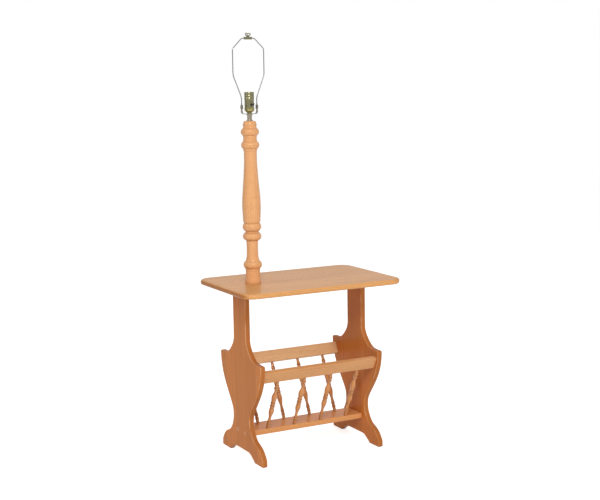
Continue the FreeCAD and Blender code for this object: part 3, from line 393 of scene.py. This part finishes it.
def lacquered_oak(
        name, centre, grain_turn, stave_width, pale, dark, batch, ring_width=0.004,
        stave_difference=0.12, pore=(0.27, 0.105, 0.036, 1.0), rubbed=(0.78, 0.47, 0.24, 1.0),
        stain=(0.3, 0.115, 0.038, 1.0), edge_width=0.003, edge_wear=0.45, gathered_stain=0.35,
        board_face=None, end_stain_and_edge_shade=0.35, end_stain_and_edge_shade_colour=(0.4, 0.12, 0.02, 1.0), lacquer=0.25,
        lacquer_roughness=0.16):
    """Oak whose grain runs along the Z axis, turned by grain_turn about the piece's centre.

    Stain soaks into the end grain. In a board whose board_face is given, all its sawn edges are
    darkened instead, partly as soaked stain and partly as painted shade. Its edges are paler,
    partly from wear and partly as a painted highlight, and its inner corners darker, partly from
    stain and partly as painted shade."""
    material, tree = empty_material(name)
    grain = placed_group(tree, oak_grain, {
        "Place": place_in_wood(tree, centre, grain_turn), "Stave Width": stave_width,
        "Batch": batch, "Ring Width": ring_width, "Stave Difference": stave_difference,
        "Pale Wood": pale, "Dark Wood": dark, "Pore Colour": pore, "Sheen Roughness": 0.42})
    finish = placed_group(tree, rubbed_finish, {
        "Colour": grain["Colour"], "Wear And Sheen Colour": rubbed, "Corner Stain And Shade Colour": stain,
        "Edge Width": edge_width, "Wear And Sheen On Edges": edge_wear, "Stain And Shade In Corners": gathered_stain})
    # A board's sawn edges are darkened partly as soaked stain and partly as painted shade.
    if board_face:
        soak_and_shade = opposite(tree, facing_along(tree, board_face, 0.15, 0.75))
    else:
        grain_axis = mathutils.Euler(grain_turn).to_matrix() @ mathutils.Vector((0.0, 0.0, 1.0))
        soak_and_shade = facing_along(tree, grain_axis, 0.6, 0.97)
    soaked_and_shaded = blend(
        tree, calculate(tree, "MULTIPLY", soak_and_shade, end_stain_and_edge_shade), finish["Colour"], end_stain_and_edge_shade_colour)
    raised_surface(tree, grain["Height"], 0.00025, 0.6, {
        "Base Color": soaked_and_shaded, "Roughness": grain["Roughness"], "Specular IOR Level": 0.04,
        "Coat Weight": lacquer, "Coat Roughness": lacquer_roughness, "Coat IOR": 1.5})
    return material


def finish_node(name, material):
    """Gives a CAD piece its finish, in the material slots that it already has."""
    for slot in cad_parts[name].material_slots:
        slot.material = material


def centre_of(name):
    """Middle of a CAD piece's box."""
    low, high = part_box(name)
    return tuple((low + high) / 2)


grain_along_table = (0.0, math.radians(90), 0.0)
top_staves = 4
top_low, top_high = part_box("table_top")
top_oak = lacquered_oak(
    "table top oak", centre_of("table_top"), grain_along_table,
    (top_high.y - top_low.y) / top_staves, (0.8, 0.41, 0.155, 1.0), (0.66, 0.3, 0.1, 1.0),
    batch=3.0, stave_difference=0.1, lacquer=0.2, end_stain_and_edge_shade=0.75)
finish_node("table_top", top_oak)


# ------------------------------------------------------------------ the end panels
# Two 19 mm oak boards, glued up from upright staves and sawn to one outline with ears, a
# waist and two feet. Their edges are rounded over and lacquered like the top.
grain_upright = (0.0, 0.0, 0.0)
panel_staves = 4
panel_low, panel_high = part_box("left_end_panel")
panel_stave_width = (panel_high.y - panel_low.y) / panel_staves
for side, batch in (("left", 11.0), ("right", 12.0)):
    panel_name = side + "_end_panel"
    # The pale colour along the rounded edges is partly wear and partly a painted highlight, and
    # the darker sawn edges are partly soaked stain and partly painted shade.
    panel_oak = lacquered_oak(
        side + " panel oak", centre_of(panel_name), grain_upright, panel_stave_width,
        (0.69, 0.24, 0.05, 1.0), (0.58, 0.18, 0.035, 1.0), batch=batch,
        pore=(0.43, 0.15, 0.036, 1.0), ring_width=0.0048, lacquer=0.14,
        edge_width=0.005, edge_wear=1.0, rubbed=(0.97, 0.72, 0.5, 1.0),
        board_face=(1.0, 0.0, 0.0), end_stain_and_edge_shade=0.6, end_stain_and_edge_shade_colour=(0.34, 0.115, 0.034, 1.0))
    finish_node(panel_name, panel_oak)


# ------------------------------------------------------------------ the blocks under the top
# Two square blocks of unfinished softwood, one inside each end panel. Countersunk screws
# go up through them into the top and sideways into the panels.
def bare_wood(name, centre, grain_turn, pale, dark, batch):
    """Sawn wood with the oak's grain pattern, but no finish."""
    material, tree = empty_material(name)
    grain = placed_group(tree, oak_grain, {
        "Place": place_in_wood(tree, centre, grain_turn), "Stave Width": 1.0, "Batch": batch,
        "Ring Width": 0.0026, "Pale Wood": pale, "Dark Wood": dark, "Pore Colour": dark,
        "Sheen Roughness": 0.72})
    raised_surface(tree, grain["Height"], 0.0003, 0.8, {
        "Base Color": grain["Colour"], "Roughness": grain["Roughness"],
        "Specular IOR Level": 0.3})
    return material


grain_across_table = (math.radians(90), 0.0, 0.0)
for side, batch in (("left", 21.0), ("right", 22.0)):
    block_name = side + "_top_cleat"
    finish_node(block_name, bare_wood(
        side + " block softwood", centre_of(block_name), grain_across_table,
        (0.62, 0.42, 0.24, 1.0), (0.42, 0.25, 0.12, 1.0), batch))


# ------------------------------------------------------------------ the magazine rack's boards
# A shelf between the panels' feet and two rails that lean outwards, all of 19 mm oak with
# the grain along them. They are screwed on through the panels, and lacquered.
# The back rail's oak is painted much paler than the shelf's, as painted light on its inner face,
# and the front rail's a little darker, as painted shade.
rack_tones_with_painted_light = {
    "shelf": ((0.82, 0.39, 0.145, 1.0), (0.68, 0.28, 0.095, 1.0), 31.0),
    "front_rail": ((0.73, 0.38, 0.165, 1.0), (0.6, 0.275, 0.105, 1.0), 32.0),
    "back_rail": ((0.92, 0.6, 0.32, 1.0), (0.84, 0.5, 0.24, 1.0), 33.0),
}
for board_name, (pale, dark, batch) in rack_tones_with_painted_light.items():
    finish_node(board_name, lacquered_oak(
        board_name.replace("_", " ") + " oak", centre_of(board_name), grain_along_table, 1.0,
        pale, dark, batch=batch, ring_width=0.0036))


# ------------------------------------------------------------------ the spindles
# Eight thin oak spindles, turned with beads and long swells, stand glued in the shelf and in the
# leaning rails. The lathe leaves fine rings. The grooves between the beads are darker, partly from
# gathered stain and partly as painted shade, and the beads' edges paler, partly from wear and
# partly as a painted highlight.
def along_grain(tree):
    """Distance along the grain from the piece's middle, in the tree of an oak material."""
    place = next(node for node in tree.nodes if node.type == "MAPPING").outputs[0]
    return add_node(tree, "ShaderNodeSeparateXYZ", {0: place}).outputs["Z"]


def turned_oak(name, centre, grain_turn, pale, dark, batch, ring_pitch, **look):
    """Lacquered oak from the lathe: the tool's fine rings run round the Z axis."""
    material = lacquered_oak(name, centre, grain_turn, 1.0, pale, dark, batch, **look)
    tree = material.node_tree
    relief = next(node for node in tree.nodes if node.type == "BUMP")
    tool_marks = add_node(
        tree, "ShaderNodeTexNoise",
        {"W": calculate(tree, "DIVIDE", along_grain(tree), ring_pitch), "Scale": 1.0,
         "Detail": 2.0}, noise_dimensions="1D").outputs["Fac"]
    grain_height = relief.inputs["Height"].links[0].from_socket
    tree.links.new(
        calculate(tree, "MULTIPLY_ADD", tool_marks, 0.5, grain_height), relief.inputs["Height"])
    return material


def darken_grooves_with_stain_and_shade(material, pair_middles, inner, outer, groove_stain_and_shade_colour):
    """Darkens the grooves beside the beads, at two distances from each pair's middle: partly
    stain, partly painted shade.
    """
    tree = material.node_tree
    along = along_grain(tree)
    from_pair = 1.0        # more than any distance on a spindle
    for middle in pair_middles:
        away = calculate(tree, "ABSOLUTE", calculate(tree, "SUBTRACT", along, middle))
        from_pair = calculate(tree, "MINIMUM", away, from_pair)
    from_inner, from_outer = (
        calculate(tree, "ABSOLUTE", calculate(tree, "SUBTRACT", from_pair, groove))
        for groove in (inner, outer))
    nearest = calculate(tree, "MINIMUM", from_inner, from_outer)
    groove_bottom, groove_reach = 0.0004, 0.002
    in_groove = opposite(tree, ramp(tree, nearest, groove_bottom, groove_reach))
    shader = next(node for node in tree.nodes if node.type == "BSDF_PRINCIPLED")
    wood = shader.inputs["Base Color"].links[0].from_socket
    grooves_stained_and_shaded = blend(tree, calculate(tree, "MULTIPLY", in_groove, 0.8), wood, groove_stain_and_shade_colour)
    tree.links.new(grooves_stained_and_shaded, shader.inputs["Base Color"])


lean = math.radians(25.14)
pair_middles = (-0.0855, -0.0005, 0.0791)        # along a spindle, from its own middle
inner_groove, outer_groove = 0.003, 0.0106       # from the middle of a pair of beads
for row, row_lean, batch in (("front", lean, 42.0), ("back", -lean, 40.0)):
    _, row_y, row_z = centre_of(row + "_spindle_1")
    spindle_oak = turned_oak(
        row + " spindle oak", (0.0, row_y, row_z), (row_lean, 0.0, 0.0),
        (0.74, 0.33, 0.105, 1.0), (0.57, 0.22, 0.055, 1.0), batch, 0.0009,
        ring_width=0.0028, edge_width=0.0025, edge_wear=0.7, gathered_stain=1.0,
        stain=(0.2, 0.07, 0.022, 1.0), rubbed=(0.9, 0.56, 0.28, 1.0),
        lacquer=0.8, lacquer_roughness=0.08)
    darken_grooves_with_stain_and_shade(
        spindle_oak, pair_middles, inner_groove, outer_groove, (0.2, 0.05, 0.012, 1.0))
    for number in range(1, 5):
        finish_node(f"{row}_spindle_{number}", spindle_oak)


# ------------------------------------------------------------------ screws and plugs
# Zinc plated wood screws hold the rack and the blocks. Those through the end panels are
# sunk and covered with short plugs of paler oak, whose grain runs across the panel.
handling, given, made = new_group(
    "handling marks",
    [("Place", "NodeSocketVector", (0.0, 0.0, 0.0)),
     ("Smudge Size", "NodeSocketFloat", 0.01),
     ("Scratch Size", "NodeSocketFloat", 0.0008),
     ("Base Roughness", "NodeSocketFloat", 0.2),
     ("Tarnish Amount", "NodeSocketFloat", 0.2),
     ("Clean Colour", "NodeSocketColor", (0.8, 0.8, 0.8, 1.0)),
     ("Tarnish Colour", "NodeSocketColor", (0.4, 0.35, 0.3, 1.0))],
    [("Colour", "NodeSocketColor"), ("Roughness", "NodeSocketFloat"),
     ("Height", "NodeSocketFloat")])
tree = handling
smudges = add_node(
    tree, "ShaderNodeTexNoise",
    {"Vector": given["Place"], "Scale": calculate(tree, "DIVIDE", 1.0, given["Smudge Size"]),
     "Detail": 3.0, "Roughness": 0.6}).outputs["Fac"]
scratches = add_node(
    tree, "ShaderNodeTexNoise",
    {"Vector": stretched(tree, given["Place"], 1.0, 0.12),
     "Scale": calculate(tree, "DIVIDE", 1.0, given["Scratch Size"]), "Detail": 2.0}).outputs["Fac"]
dulled = ramp(tree, smudges, 0.42, 0.72)
crease_reach = 0.004
openness = add_node(
    tree, "ShaderNodeAmbientOcclusion", {"Distance": crease_reach}, samples=6).outputs["AO"]
in_crease = opposite(tree, ramp(tree, openness, 0.2, 0.9))
darkened = calculate(
    tree, "MAXIMUM", in_crease, calculate(tree, "MULTIPLY", dulled, 0.6))
tarnish = calculate(tree, "MULTIPLY", darkened, given["Tarnish Amount"])
tree.links.new(
    blend(tree, tarnish, given["Clean Colour"], given["Tarnish Colour"]), made.inputs["Colour"])
dull_roughness = calculate(tree, "MULTIPLY_ADD", dulled, 0.12, given["Base Roughness"])
tree.links.new(
    calculate(tree, "MULTIPLY_ADD", in_crease, 0.15, dull_roughness), made.inputs["Roughness"])
tree.links.new(scratches, made.inputs["Height"])


def plated_metal(
        name, clean, tarnished, roughness, smudge_size=0.008, tarnish=0.45, scratch_relief=0.5):
    """Thin bright plate with fine scratches, dull smudges and tarnish in its creases."""
    material, tree = empty_material(name)
    marks = placed_group(tree, handling, {
        "Place": on_object(tree), "Smudge Size": smudge_size, "Scratch Size": 0.0005,
        "Base Roughness": roughness, "Tarnish Amount": tarnish,
        "Clean Colour": clean, "Tarnish Colour": tarnished})
    raised_surface(tree, marks["Height"], 0.00004, scratch_relief, {
        "Base Color": marks["Colour"], "Metallic": 1.0, "Roughness": marks["Roughness"]})
    return material


zinc = plated_metal(
    "zinc plate", (0.6, 0.61, 0.6, 1.0), (0.3, 0.3, 0.29, 1.0), 0.34, smudge_size=0.003)
for screw_name in ("panel_screws", "cleat_screws"):
    finish_node(screw_name, zinc)
finish_node("screw_plugs", lacquered_oak(
    "plug oak", centre_of("screw_plugs"), grain_across_table, 1.0,
    (0.69, 0.29, 0.09, 1.0), (0.57, 0.22, 0.06, 1.0), batch=51.0, ring_width=0.0022,
    edge_width=0.0006))


# ------------------------------------------------------------------ the lamp column
# One oak turning 577 mm tall, with a flared foot, beads, a long vase and a capped top. It
# stands on the table top, and a threaded tube through it clamps it down.
# Its edges are paler, partly from wear and partly as a painted highlight, and its inner corners
# darker, partly from stain and partly as painted shade.
column_oak = turned_oak(
    "column oak", centre_of("lamp_column"), grain_upright,
    (0.87, 0.46, 0.21, 1.0), (0.73, 0.335, 0.13, 1.0), 61.0, 0.0012,
    ring_width=0.0042, lacquer=0.4, lacquer_roughness=0.12, gathered_stain=0.75,
    edge_width=0.004, edge_wear=0.5, rubbed=(0.9, 0.6, 0.36, 1.0))
finish_node("lamp_column", column_oak)


# ------------------------------------------------------------------ the column's tube
# A zinc plated steel tube runs from below the table top up into the socket. A washer and
# a hexagon nut pull it tight, and a black plastic gland lines its lower end.
for fixing_name in ("pipe_washer", "pipe_nut"):
    finish_node(fixing_name, zinc)

pipe_low, pipe_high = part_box("lamp_pipe")
lamp_x, lamp_y = (pipe_low.x + pipe_high.x) / 2, (pipe_low.y + pipe_high.y) / 2


def turned_surface(name, outline, sides, cut, material, closed=False):
    """Turns an outline about the lamp's axis, with something cut in it, such as a thread.

    The outline is a list of (radius, z, depth), and cut(turn, z) gives from 0 to 1 of the
    depth that is taken off the radius. A closed outline has a bore all the way through."""
    mesh = bmesh.new()
    rows = []
    for side in range(sides):
        turn = 2 * math.pi * side / sides
        row = []
        for radius, z, depth in outline:
            reach = radius - depth * cut(turn, z)
            row.append(mesh.verts.new(
                (lamp_x + reach * math.cos(turn), lamp_y + reach * math.sin(turn), z)))
        rows.append(row)
    steps = len(outline) if closed else len(outline) - 1
    for side in range(sides):
        row, next_row = rows[side], rows[(side + 1) % sides]
        for step in range(steps):
            up = (step + 1) % len(outline)
            mesh.faces.new((row[step], next_row[step], next_row[up], row[up]))
    bmesh.ops.remove_doubles(mesh, verts=mesh.verts[:], dist=1e-7)
    bmesh.ops.dissolve_degenerate(mesh, edges=mesh.edges[:], dist=1e-7)
    bmesh.ops.recalc_face_normals(mesh, faces=mesh.faces[:])
    shape = bpy.data.meshes.new(name)
    mesh.to_mesh(shape)
    mesh.free()
    shape.shade_smooth()
    shape.set_sharp_from_angle(angle=math.radians(32))
    shape.materials.append(material)
    return new_object(name, shape)


def screw_thread(pitch):
    """Sharp ridges that climb one pitch in each turn."""
    return lambda turn, z: abs(2 * ((z / pitch - turn / (2 * math.pi)) % 1.0) - 1)


def run_of(radius, start, end, step, depth):
    """Points along one straight run of an outline."""
    count = max(1, round(abs(end - start) / step))
    return [(radius, start + (end - start) * share / count, depth)
            for share in range(count + 1)]


pipe_radius = (pipe_high.x - pipe_low.x) / 2
pipe_bore, pipe_thread = 0.0036, 0.019        # radius of the bore, length of each thread
pipe_pitch, thread_depth = 0.001, 0.0005
pipe_outline = (
    [(pipe_bore, pipe_low.z, 0.0), (pipe_radius - thread_depth, pipe_low.z, 0.0)]
    + run_of(pipe_radius, pipe_low.z + thread_depth, pipe_low.z + pipe_thread,
             pipe_pitch / 6, thread_depth)
    + [(pipe_radius, pipe_low.z + pipe_thread + pipe_pitch, 0.0),
       (pipe_radius, pipe_high.z - pipe_thread - pipe_pitch, 0.0)]
    + run_of(pipe_radius, pipe_high.z - pipe_thread, pipe_high.z - thread_depth,
             pipe_pitch / 6, thread_depth)
    + [(pipe_radius - thread_depth, pipe_high.z, 0.0), (pipe_bore, pipe_high.z, 0.0)])
threaded_tube = turned_surface(
    "threaded_tube", pipe_outline, 40, screw_thread(pipe_pitch), zinc, closed=True)
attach(threaded_tube, "table")
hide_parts("lamp_pipe")


def moulded_plastic(name, colour, worn_and_sheened, roughness, grain_size):
    """Plastic with the mould's fine grain and paler edges, partly from wear and partly a painted
    highlight.
    """
    material, tree = empty_material(name)
    mould_grain = add_node(
        tree, "ShaderNodeTexNoise",
        {"Vector": on_object(tree), "Scale": 1.0 / grain_size, "Detail": 2.0}).outputs["Fac"]
    finish = placed_group(tree, rubbed_finish, {
        "Colour": colour, "Wear And Sheen Colour": worn_and_sheened, "Corner Stain And Shade Colour": colour, "Edge Width": 0.0006,
        "Wear And Sheen On Edges": 0.6, "Stain And Shade In Corners": 0.0})
    uneven = calculate(
        tree, "MULTIPLY_ADD", calculate(tree, "SUBTRACT", mould_grain, 0.5), 0.15, roughness)
    raised_surface(tree, mould_grain, 0.00005, 0.6, {
        "Base Color": finish["Colour"], "Roughness": uneven})
    return material


black_plastic = moulded_plastic(
    "black plastic", (0.012, 0.012, 0.012, 1.0), (0.06, 0.06, 0.06, 1.0), 0.42, 0.0004)
finish_node("cord_bushing", black_plastic)


# ------------------------------------------------------------------ the neck and the harp
# A brass spacer carries a strap whose posts hold the harp: a bent spring wire that goes
# round the bulb. A ferrule slides down over each joint of wire and post to lock it.
neck_brass = plated_metal(
    "neck brass", (0.34, 0.29, 0.22, 1.0), (0.13, 0.1, 0.06, 1.0), 0.2)
finish_node("lamp_neck", neck_brass)
harp_plate = plated_metal(
    "harp plate", (0.2, 0.19, 0.155, 1.0), (0.08, 0.072, 0.045, 1.0), 0.2, smudge_size=0.02,
    tarnish=0.6)
for harp_part in ("harp_saddle", "left_harp_sleeve", "right_harp_sleeve"):
    finish_node(harp_part, harp_plate)
finish_node("harp_wire", plated_metal(
    "wire plate", (0.26, 0.26, 0.265, 1.0), (0.13, 0.13, 0.125, 1.0), 0.26, smudge_size=0.03,
    scratch_relief=0.12))


# ------------------------------------------------------------------ the socket
# Two shells of thin sheet brass, pushed together over a fibre sleeve, an insulating body
# with two terminals, a screw shell for the bulb and a springy contact under its tip.
cap_brass = plated_metal(
    "cap brass", (0.31, 0.27, 0.11, 1.0), (0.09, 0.07, 0.025, 1.0), 0.18, tarnish=0.6)
finish_node("socket_cap", cap_brass)
shell_brass = plated_metal(
    "shell brass", (0.22, 0.205, 0.115, 1.0), (0.075, 0.065, 0.03, 1.0), 0.22, tarnish=0.6)
# The shell has three rolled bands below its open rim, and a hole for the key's stem.
shell_low, shell_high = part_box("socket_shell")
shell_radius, shell_wall, shell_rim = 0.0167, 0.0007, 0.0012
band_rise, band_pitch, band_count = 0.0008, 0.0088, 3
rim_break, band_lead = 0.0002, 0.001
band_top = shell_high.z - shell_rim
band_foot = band_top - band_count * band_pitch
shell_inside = shell_radius - shell_wall
shell_outline = (
    [(shell_inside, shell_low.z, 0.0), (shell_radius, shell_low.z, 0.0),
     (shell_radius, band_foot - band_lead, 0.0)]
    + run_of(shell_radius + band_rise, band_foot, band_top, band_pitch / 16, band_rise)
    + [(shell_radius, shell_high.z - rim_break, 0.0),
       (shell_radius - shell_wall / 2, shell_high.z, 0.0),
       (shell_inside, shell_high.z - rim_break, 0.0)])
banded_shell = turned_surface(
    "banded_shell", shell_outline, 96,
    lambda turn, z: abs(math.cos(math.pi * (z - band_foot) / band_pitch)) ** 3,
    shell_brass, closed=True)
key_low, key_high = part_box("switch_key")
key_x, key_z = (key_low.x + key_high.x) / 2, (key_low.z + key_high.z) / 2
stem_hole_radius, punch_length = 0.0032, 0.012
bpy.ops.mesh.primitive_cylinder_add(
    vertices=64, radius=stem_hole_radius, depth=punch_length,
    location=(key_x, lamp_y - shell_radius, key_z), rotation=(math.radians(90), 0.0, 0.0))
stem_punch = bpy.context.object
stem_hole = banded_shell.modifiers.new("stem hole", "BOOLEAN")
stem_hole.object = stem_punch
punched = bpy.data.meshes.new_from_object(
    banded_shell.evaluated_get(bpy.context.evaluated_depsgraph_get()))
banded_shell.modifiers.clear()
banded_shell.data = punched
bpy.data.objects.remove(stem_punch)
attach(banded_shell, "table")
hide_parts("socket_shell")
finish_node("centre_contact", shell_brass)
finish_node("terminal_screws", cap_brass)

# The screw shell is drawn from sheet, with the bulb's rolled thread above a smaller foot.
aluminium = plated_metal(
    "drawn aluminium", (0.6, 0.59, 0.57, 1.0), (0.32, 0.31, 0.3, 1.0), 0.3)
cup_low, cup_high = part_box("screw_shell")
cup_radius = (cup_high.x - cup_low.x) / 2
cup_pitch, cup_wall, thread_swing = 0.00363, 0.0004, 0.0008
cup_step, cup_rim = 0.005, 0.0012        # height of the foot, plain rim above the thread
foot_inset, hole_radius = 0.0011, 0.0081
foot_radius = cup_radius - foot_inset
thread_foot, thread_top = cup_low.z + cup_step, cup_high.z - cup_rim
cup_outline = (
    [(hole_radius, cup_low.z, 0.0), (foot_radius, cup_low.z, 0.0),
     (foot_radius, thread_foot - cup_wall, 0.0)]
    + run_of(cup_radius, thread_foot, thread_top, cup_pitch / 12, thread_swing)
    + [(cup_radius, cup_high.z - cup_rim / 2, 0.0), (cup_radius, cup_high.z, 0.0),
       (cup_radius - cup_wall, cup_high.z, 0.0)]
    + run_of(cup_radius - cup_wall, thread_top, thread_foot, cup_pitch / 12, thread_swing)
    + [(foot_radius - cup_wall, thread_foot - cup_wall, 0.0),
       (foot_radius - cup_wall, cup_low.z + cup_wall, 0.0),
       (hole_radius, cup_low.z + cup_wall, 0.0)])
rolled_cup = turned_surface(
    "rolled_screw_shell", cup_outline, 64,
    lambda turn, z: 0.5 - 0.5 * math.cos(2 * math.pi * z / cup_pitch - turn),
    aluminium, closed=True)
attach(rolled_cup, "table")
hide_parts("screw_shell")
finish_node("socket_body", moulded_plastic(
    "brown phenolic", (0.055, 0.03, 0.02, 1.0), (0.16, 0.1, 0.07, 1.0), 0.3, 0.0006))

card, card_tree = empty_material("fibre card")
card_fibres = streaks(card_tree, on_object(card_tree), 900.0, 2600.0, 3.0)
card_colour = blend(card_tree, card_fibres, (0.27, 0.17, 0.09, 1.0), (0.42, 0.3, 0.17, 1.0))
raised_surface(card_tree, card_fibres, 0.0001, 0.8, {
    "Base Color": card_colour, "Roughness": 0.85})
finish_node("socket_liner", card)


# ------------------------------------------------------------------ the switch key
# A black moulded key with a flat paddle. Its stem turns the switch in the socket's body.
finish_node("switch_key", black_plastic)


# ------------------------------------------------------------------ the top fitting
# A brass block on the harp's top run, with a swivelling threaded stud for the ring of a
# shade and a low knob that screws down on it.
top_brass = plated_metal(
    "top fitting brass", (0.22, 0.205, 0.12, 1.0), (0.08, 0.07, 0.03, 1.0), 0.2, tarnish=0.6)
finish_node("harp_top_plate", top_brass)

stud_low, stud_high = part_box("shade_stud")
stud_radius, flange_radius, shoulder_radius = 0.0031, 0.005, 0.0036
stud_pivot, flange_height, shoulder_height = 0.0028, 0.0012, 0.003
stud_pitch, stud_depth, stud_break, stud_point = 0.0009, 0.00045, 0.0002, 0.0006
flange_foot = stud_low.z + stud_pivot
flange_top = flange_foot + flange_height
shoulder_top = flange_top + shoulder_height
stud_outline = (
    [(0.0, stud_low.z, 0.0), (stud_radius, stud_low.z, 0.0), (stud_radius, flange_foot, 0.0),
     (flange_radius - stud_break, flange_foot, 0.0),
     (flange_radius, flange_foot + stud_break, 0.0),
     (flange_radius, flange_top - stud_break, 0.0),
     (flange_radius - stud_break, flange_top, 0.0), (shoulder_radius, flange_top, 0.0),
     (shoulder_radius, shoulder_top - stud_break, 0.0),
     (shoulder_radius - stud_break, shoulder_top, 0.0)]
    + run_of(stud_radius, shoulder_top, stud_high.z - stud_point, stud_pitch / 6, stud_depth)
    + [(stud_radius - stud_point, stud_high.z, 0.0), (0.0, stud_high.z, 0.0)])
threaded_stud = turned_surface(
    "threaded_stud", stud_outline, 36, screw_thread(stud_pitch), top_brass)
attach(threaded_stud, "stud")
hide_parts("shade_stud")

# The knob's side is fluted for the fingers, between a coved foot and a domed crown. Its
# foot is recessed, so it drops over the stud's shoulder when no shade is fitted.
knob_brass = plated_metal(
    "knob brass", (0.42, 0.41, 0.36, 1.0), (0.08, 0.07, 0.05, 1.0), 0.16, tarnish=0.75)
knob_low, knob_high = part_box("finial")
knob_radius, knob_foot, crest_radius = 0.01, 0.0075, 0.0022
knob_bore, bore_depth, knob_break = 0.0034, 0.0073, 0.0003
skirt_height, skirt_bore, skirt_rise = 0.0028, 0.0039, 0.0004
foot_height, crown_rise = 0.003, 0.002
skirt_foot, skirt_roof = knob_low.z - skirt_height, knob_low.z + skirt_rise
bore_end = knob_low.z + bore_depth
grip_low, grip_high = skirt_foot + foot_height, knob_high.z - crown_rise
flute_count, flute_depth, flute_fade = 16, 0.0009, 0.4


def knob_flutes(turn, z):
    """Hollows round the grip, which run out at its two ends."""
    share = min(max((z - grip_low) / (grip_high - grip_low), 0.0), 1.0)
    fade = math.sin(math.pi * share) ** flute_fade if 0.0 < share < 1.0 else 0.0
    return fade * (0.5 - 0.5 * math.cos(flute_count * turn))


crown = [(crest_radius + (knob_radius - crest_radius) * math.cos(math.radians(lift)),
          grip_high + crown_rise * math.sin(math.radians(lift)), 0.0)
         for lift in range(10, 91, 10)]
# The cove runs from the foot's edge up to the grip.
cove = [(knob_foot - 0.0002, skirt_foot, 0.0),
        (knob_foot + 0.0004, skirt_foot + knob_break, 0.0),
        (knob_foot + 0.001, skirt_foot + 0.0012, 0.0),
        (knob_radius - knob_break, grip_low - 0.0006, 0.0)]
knob_outline = (
    [(0.0, bore_end, 0.0), (knob_bore, bore_end, 0.0), (knob_bore, skirt_roof, 0.0),
     (skirt_bore, skirt_roof, 0.0), (skirt_bore, skirt_foot + knob_break, 0.0),
     (skirt_bore + knob_break, skirt_foot, 0.0)]
    + cove + run_of(knob_radius, grip_low, grip_high, 0.0004, flute_depth)
    + crown + [(0.0, knob_high.z, 0.0)])
fluted_knob = turned_surface("fluted_knob", knob_outline, 160, knob_flutes, knob_brass)
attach(fluted_knob, "finial")
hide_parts("finial")
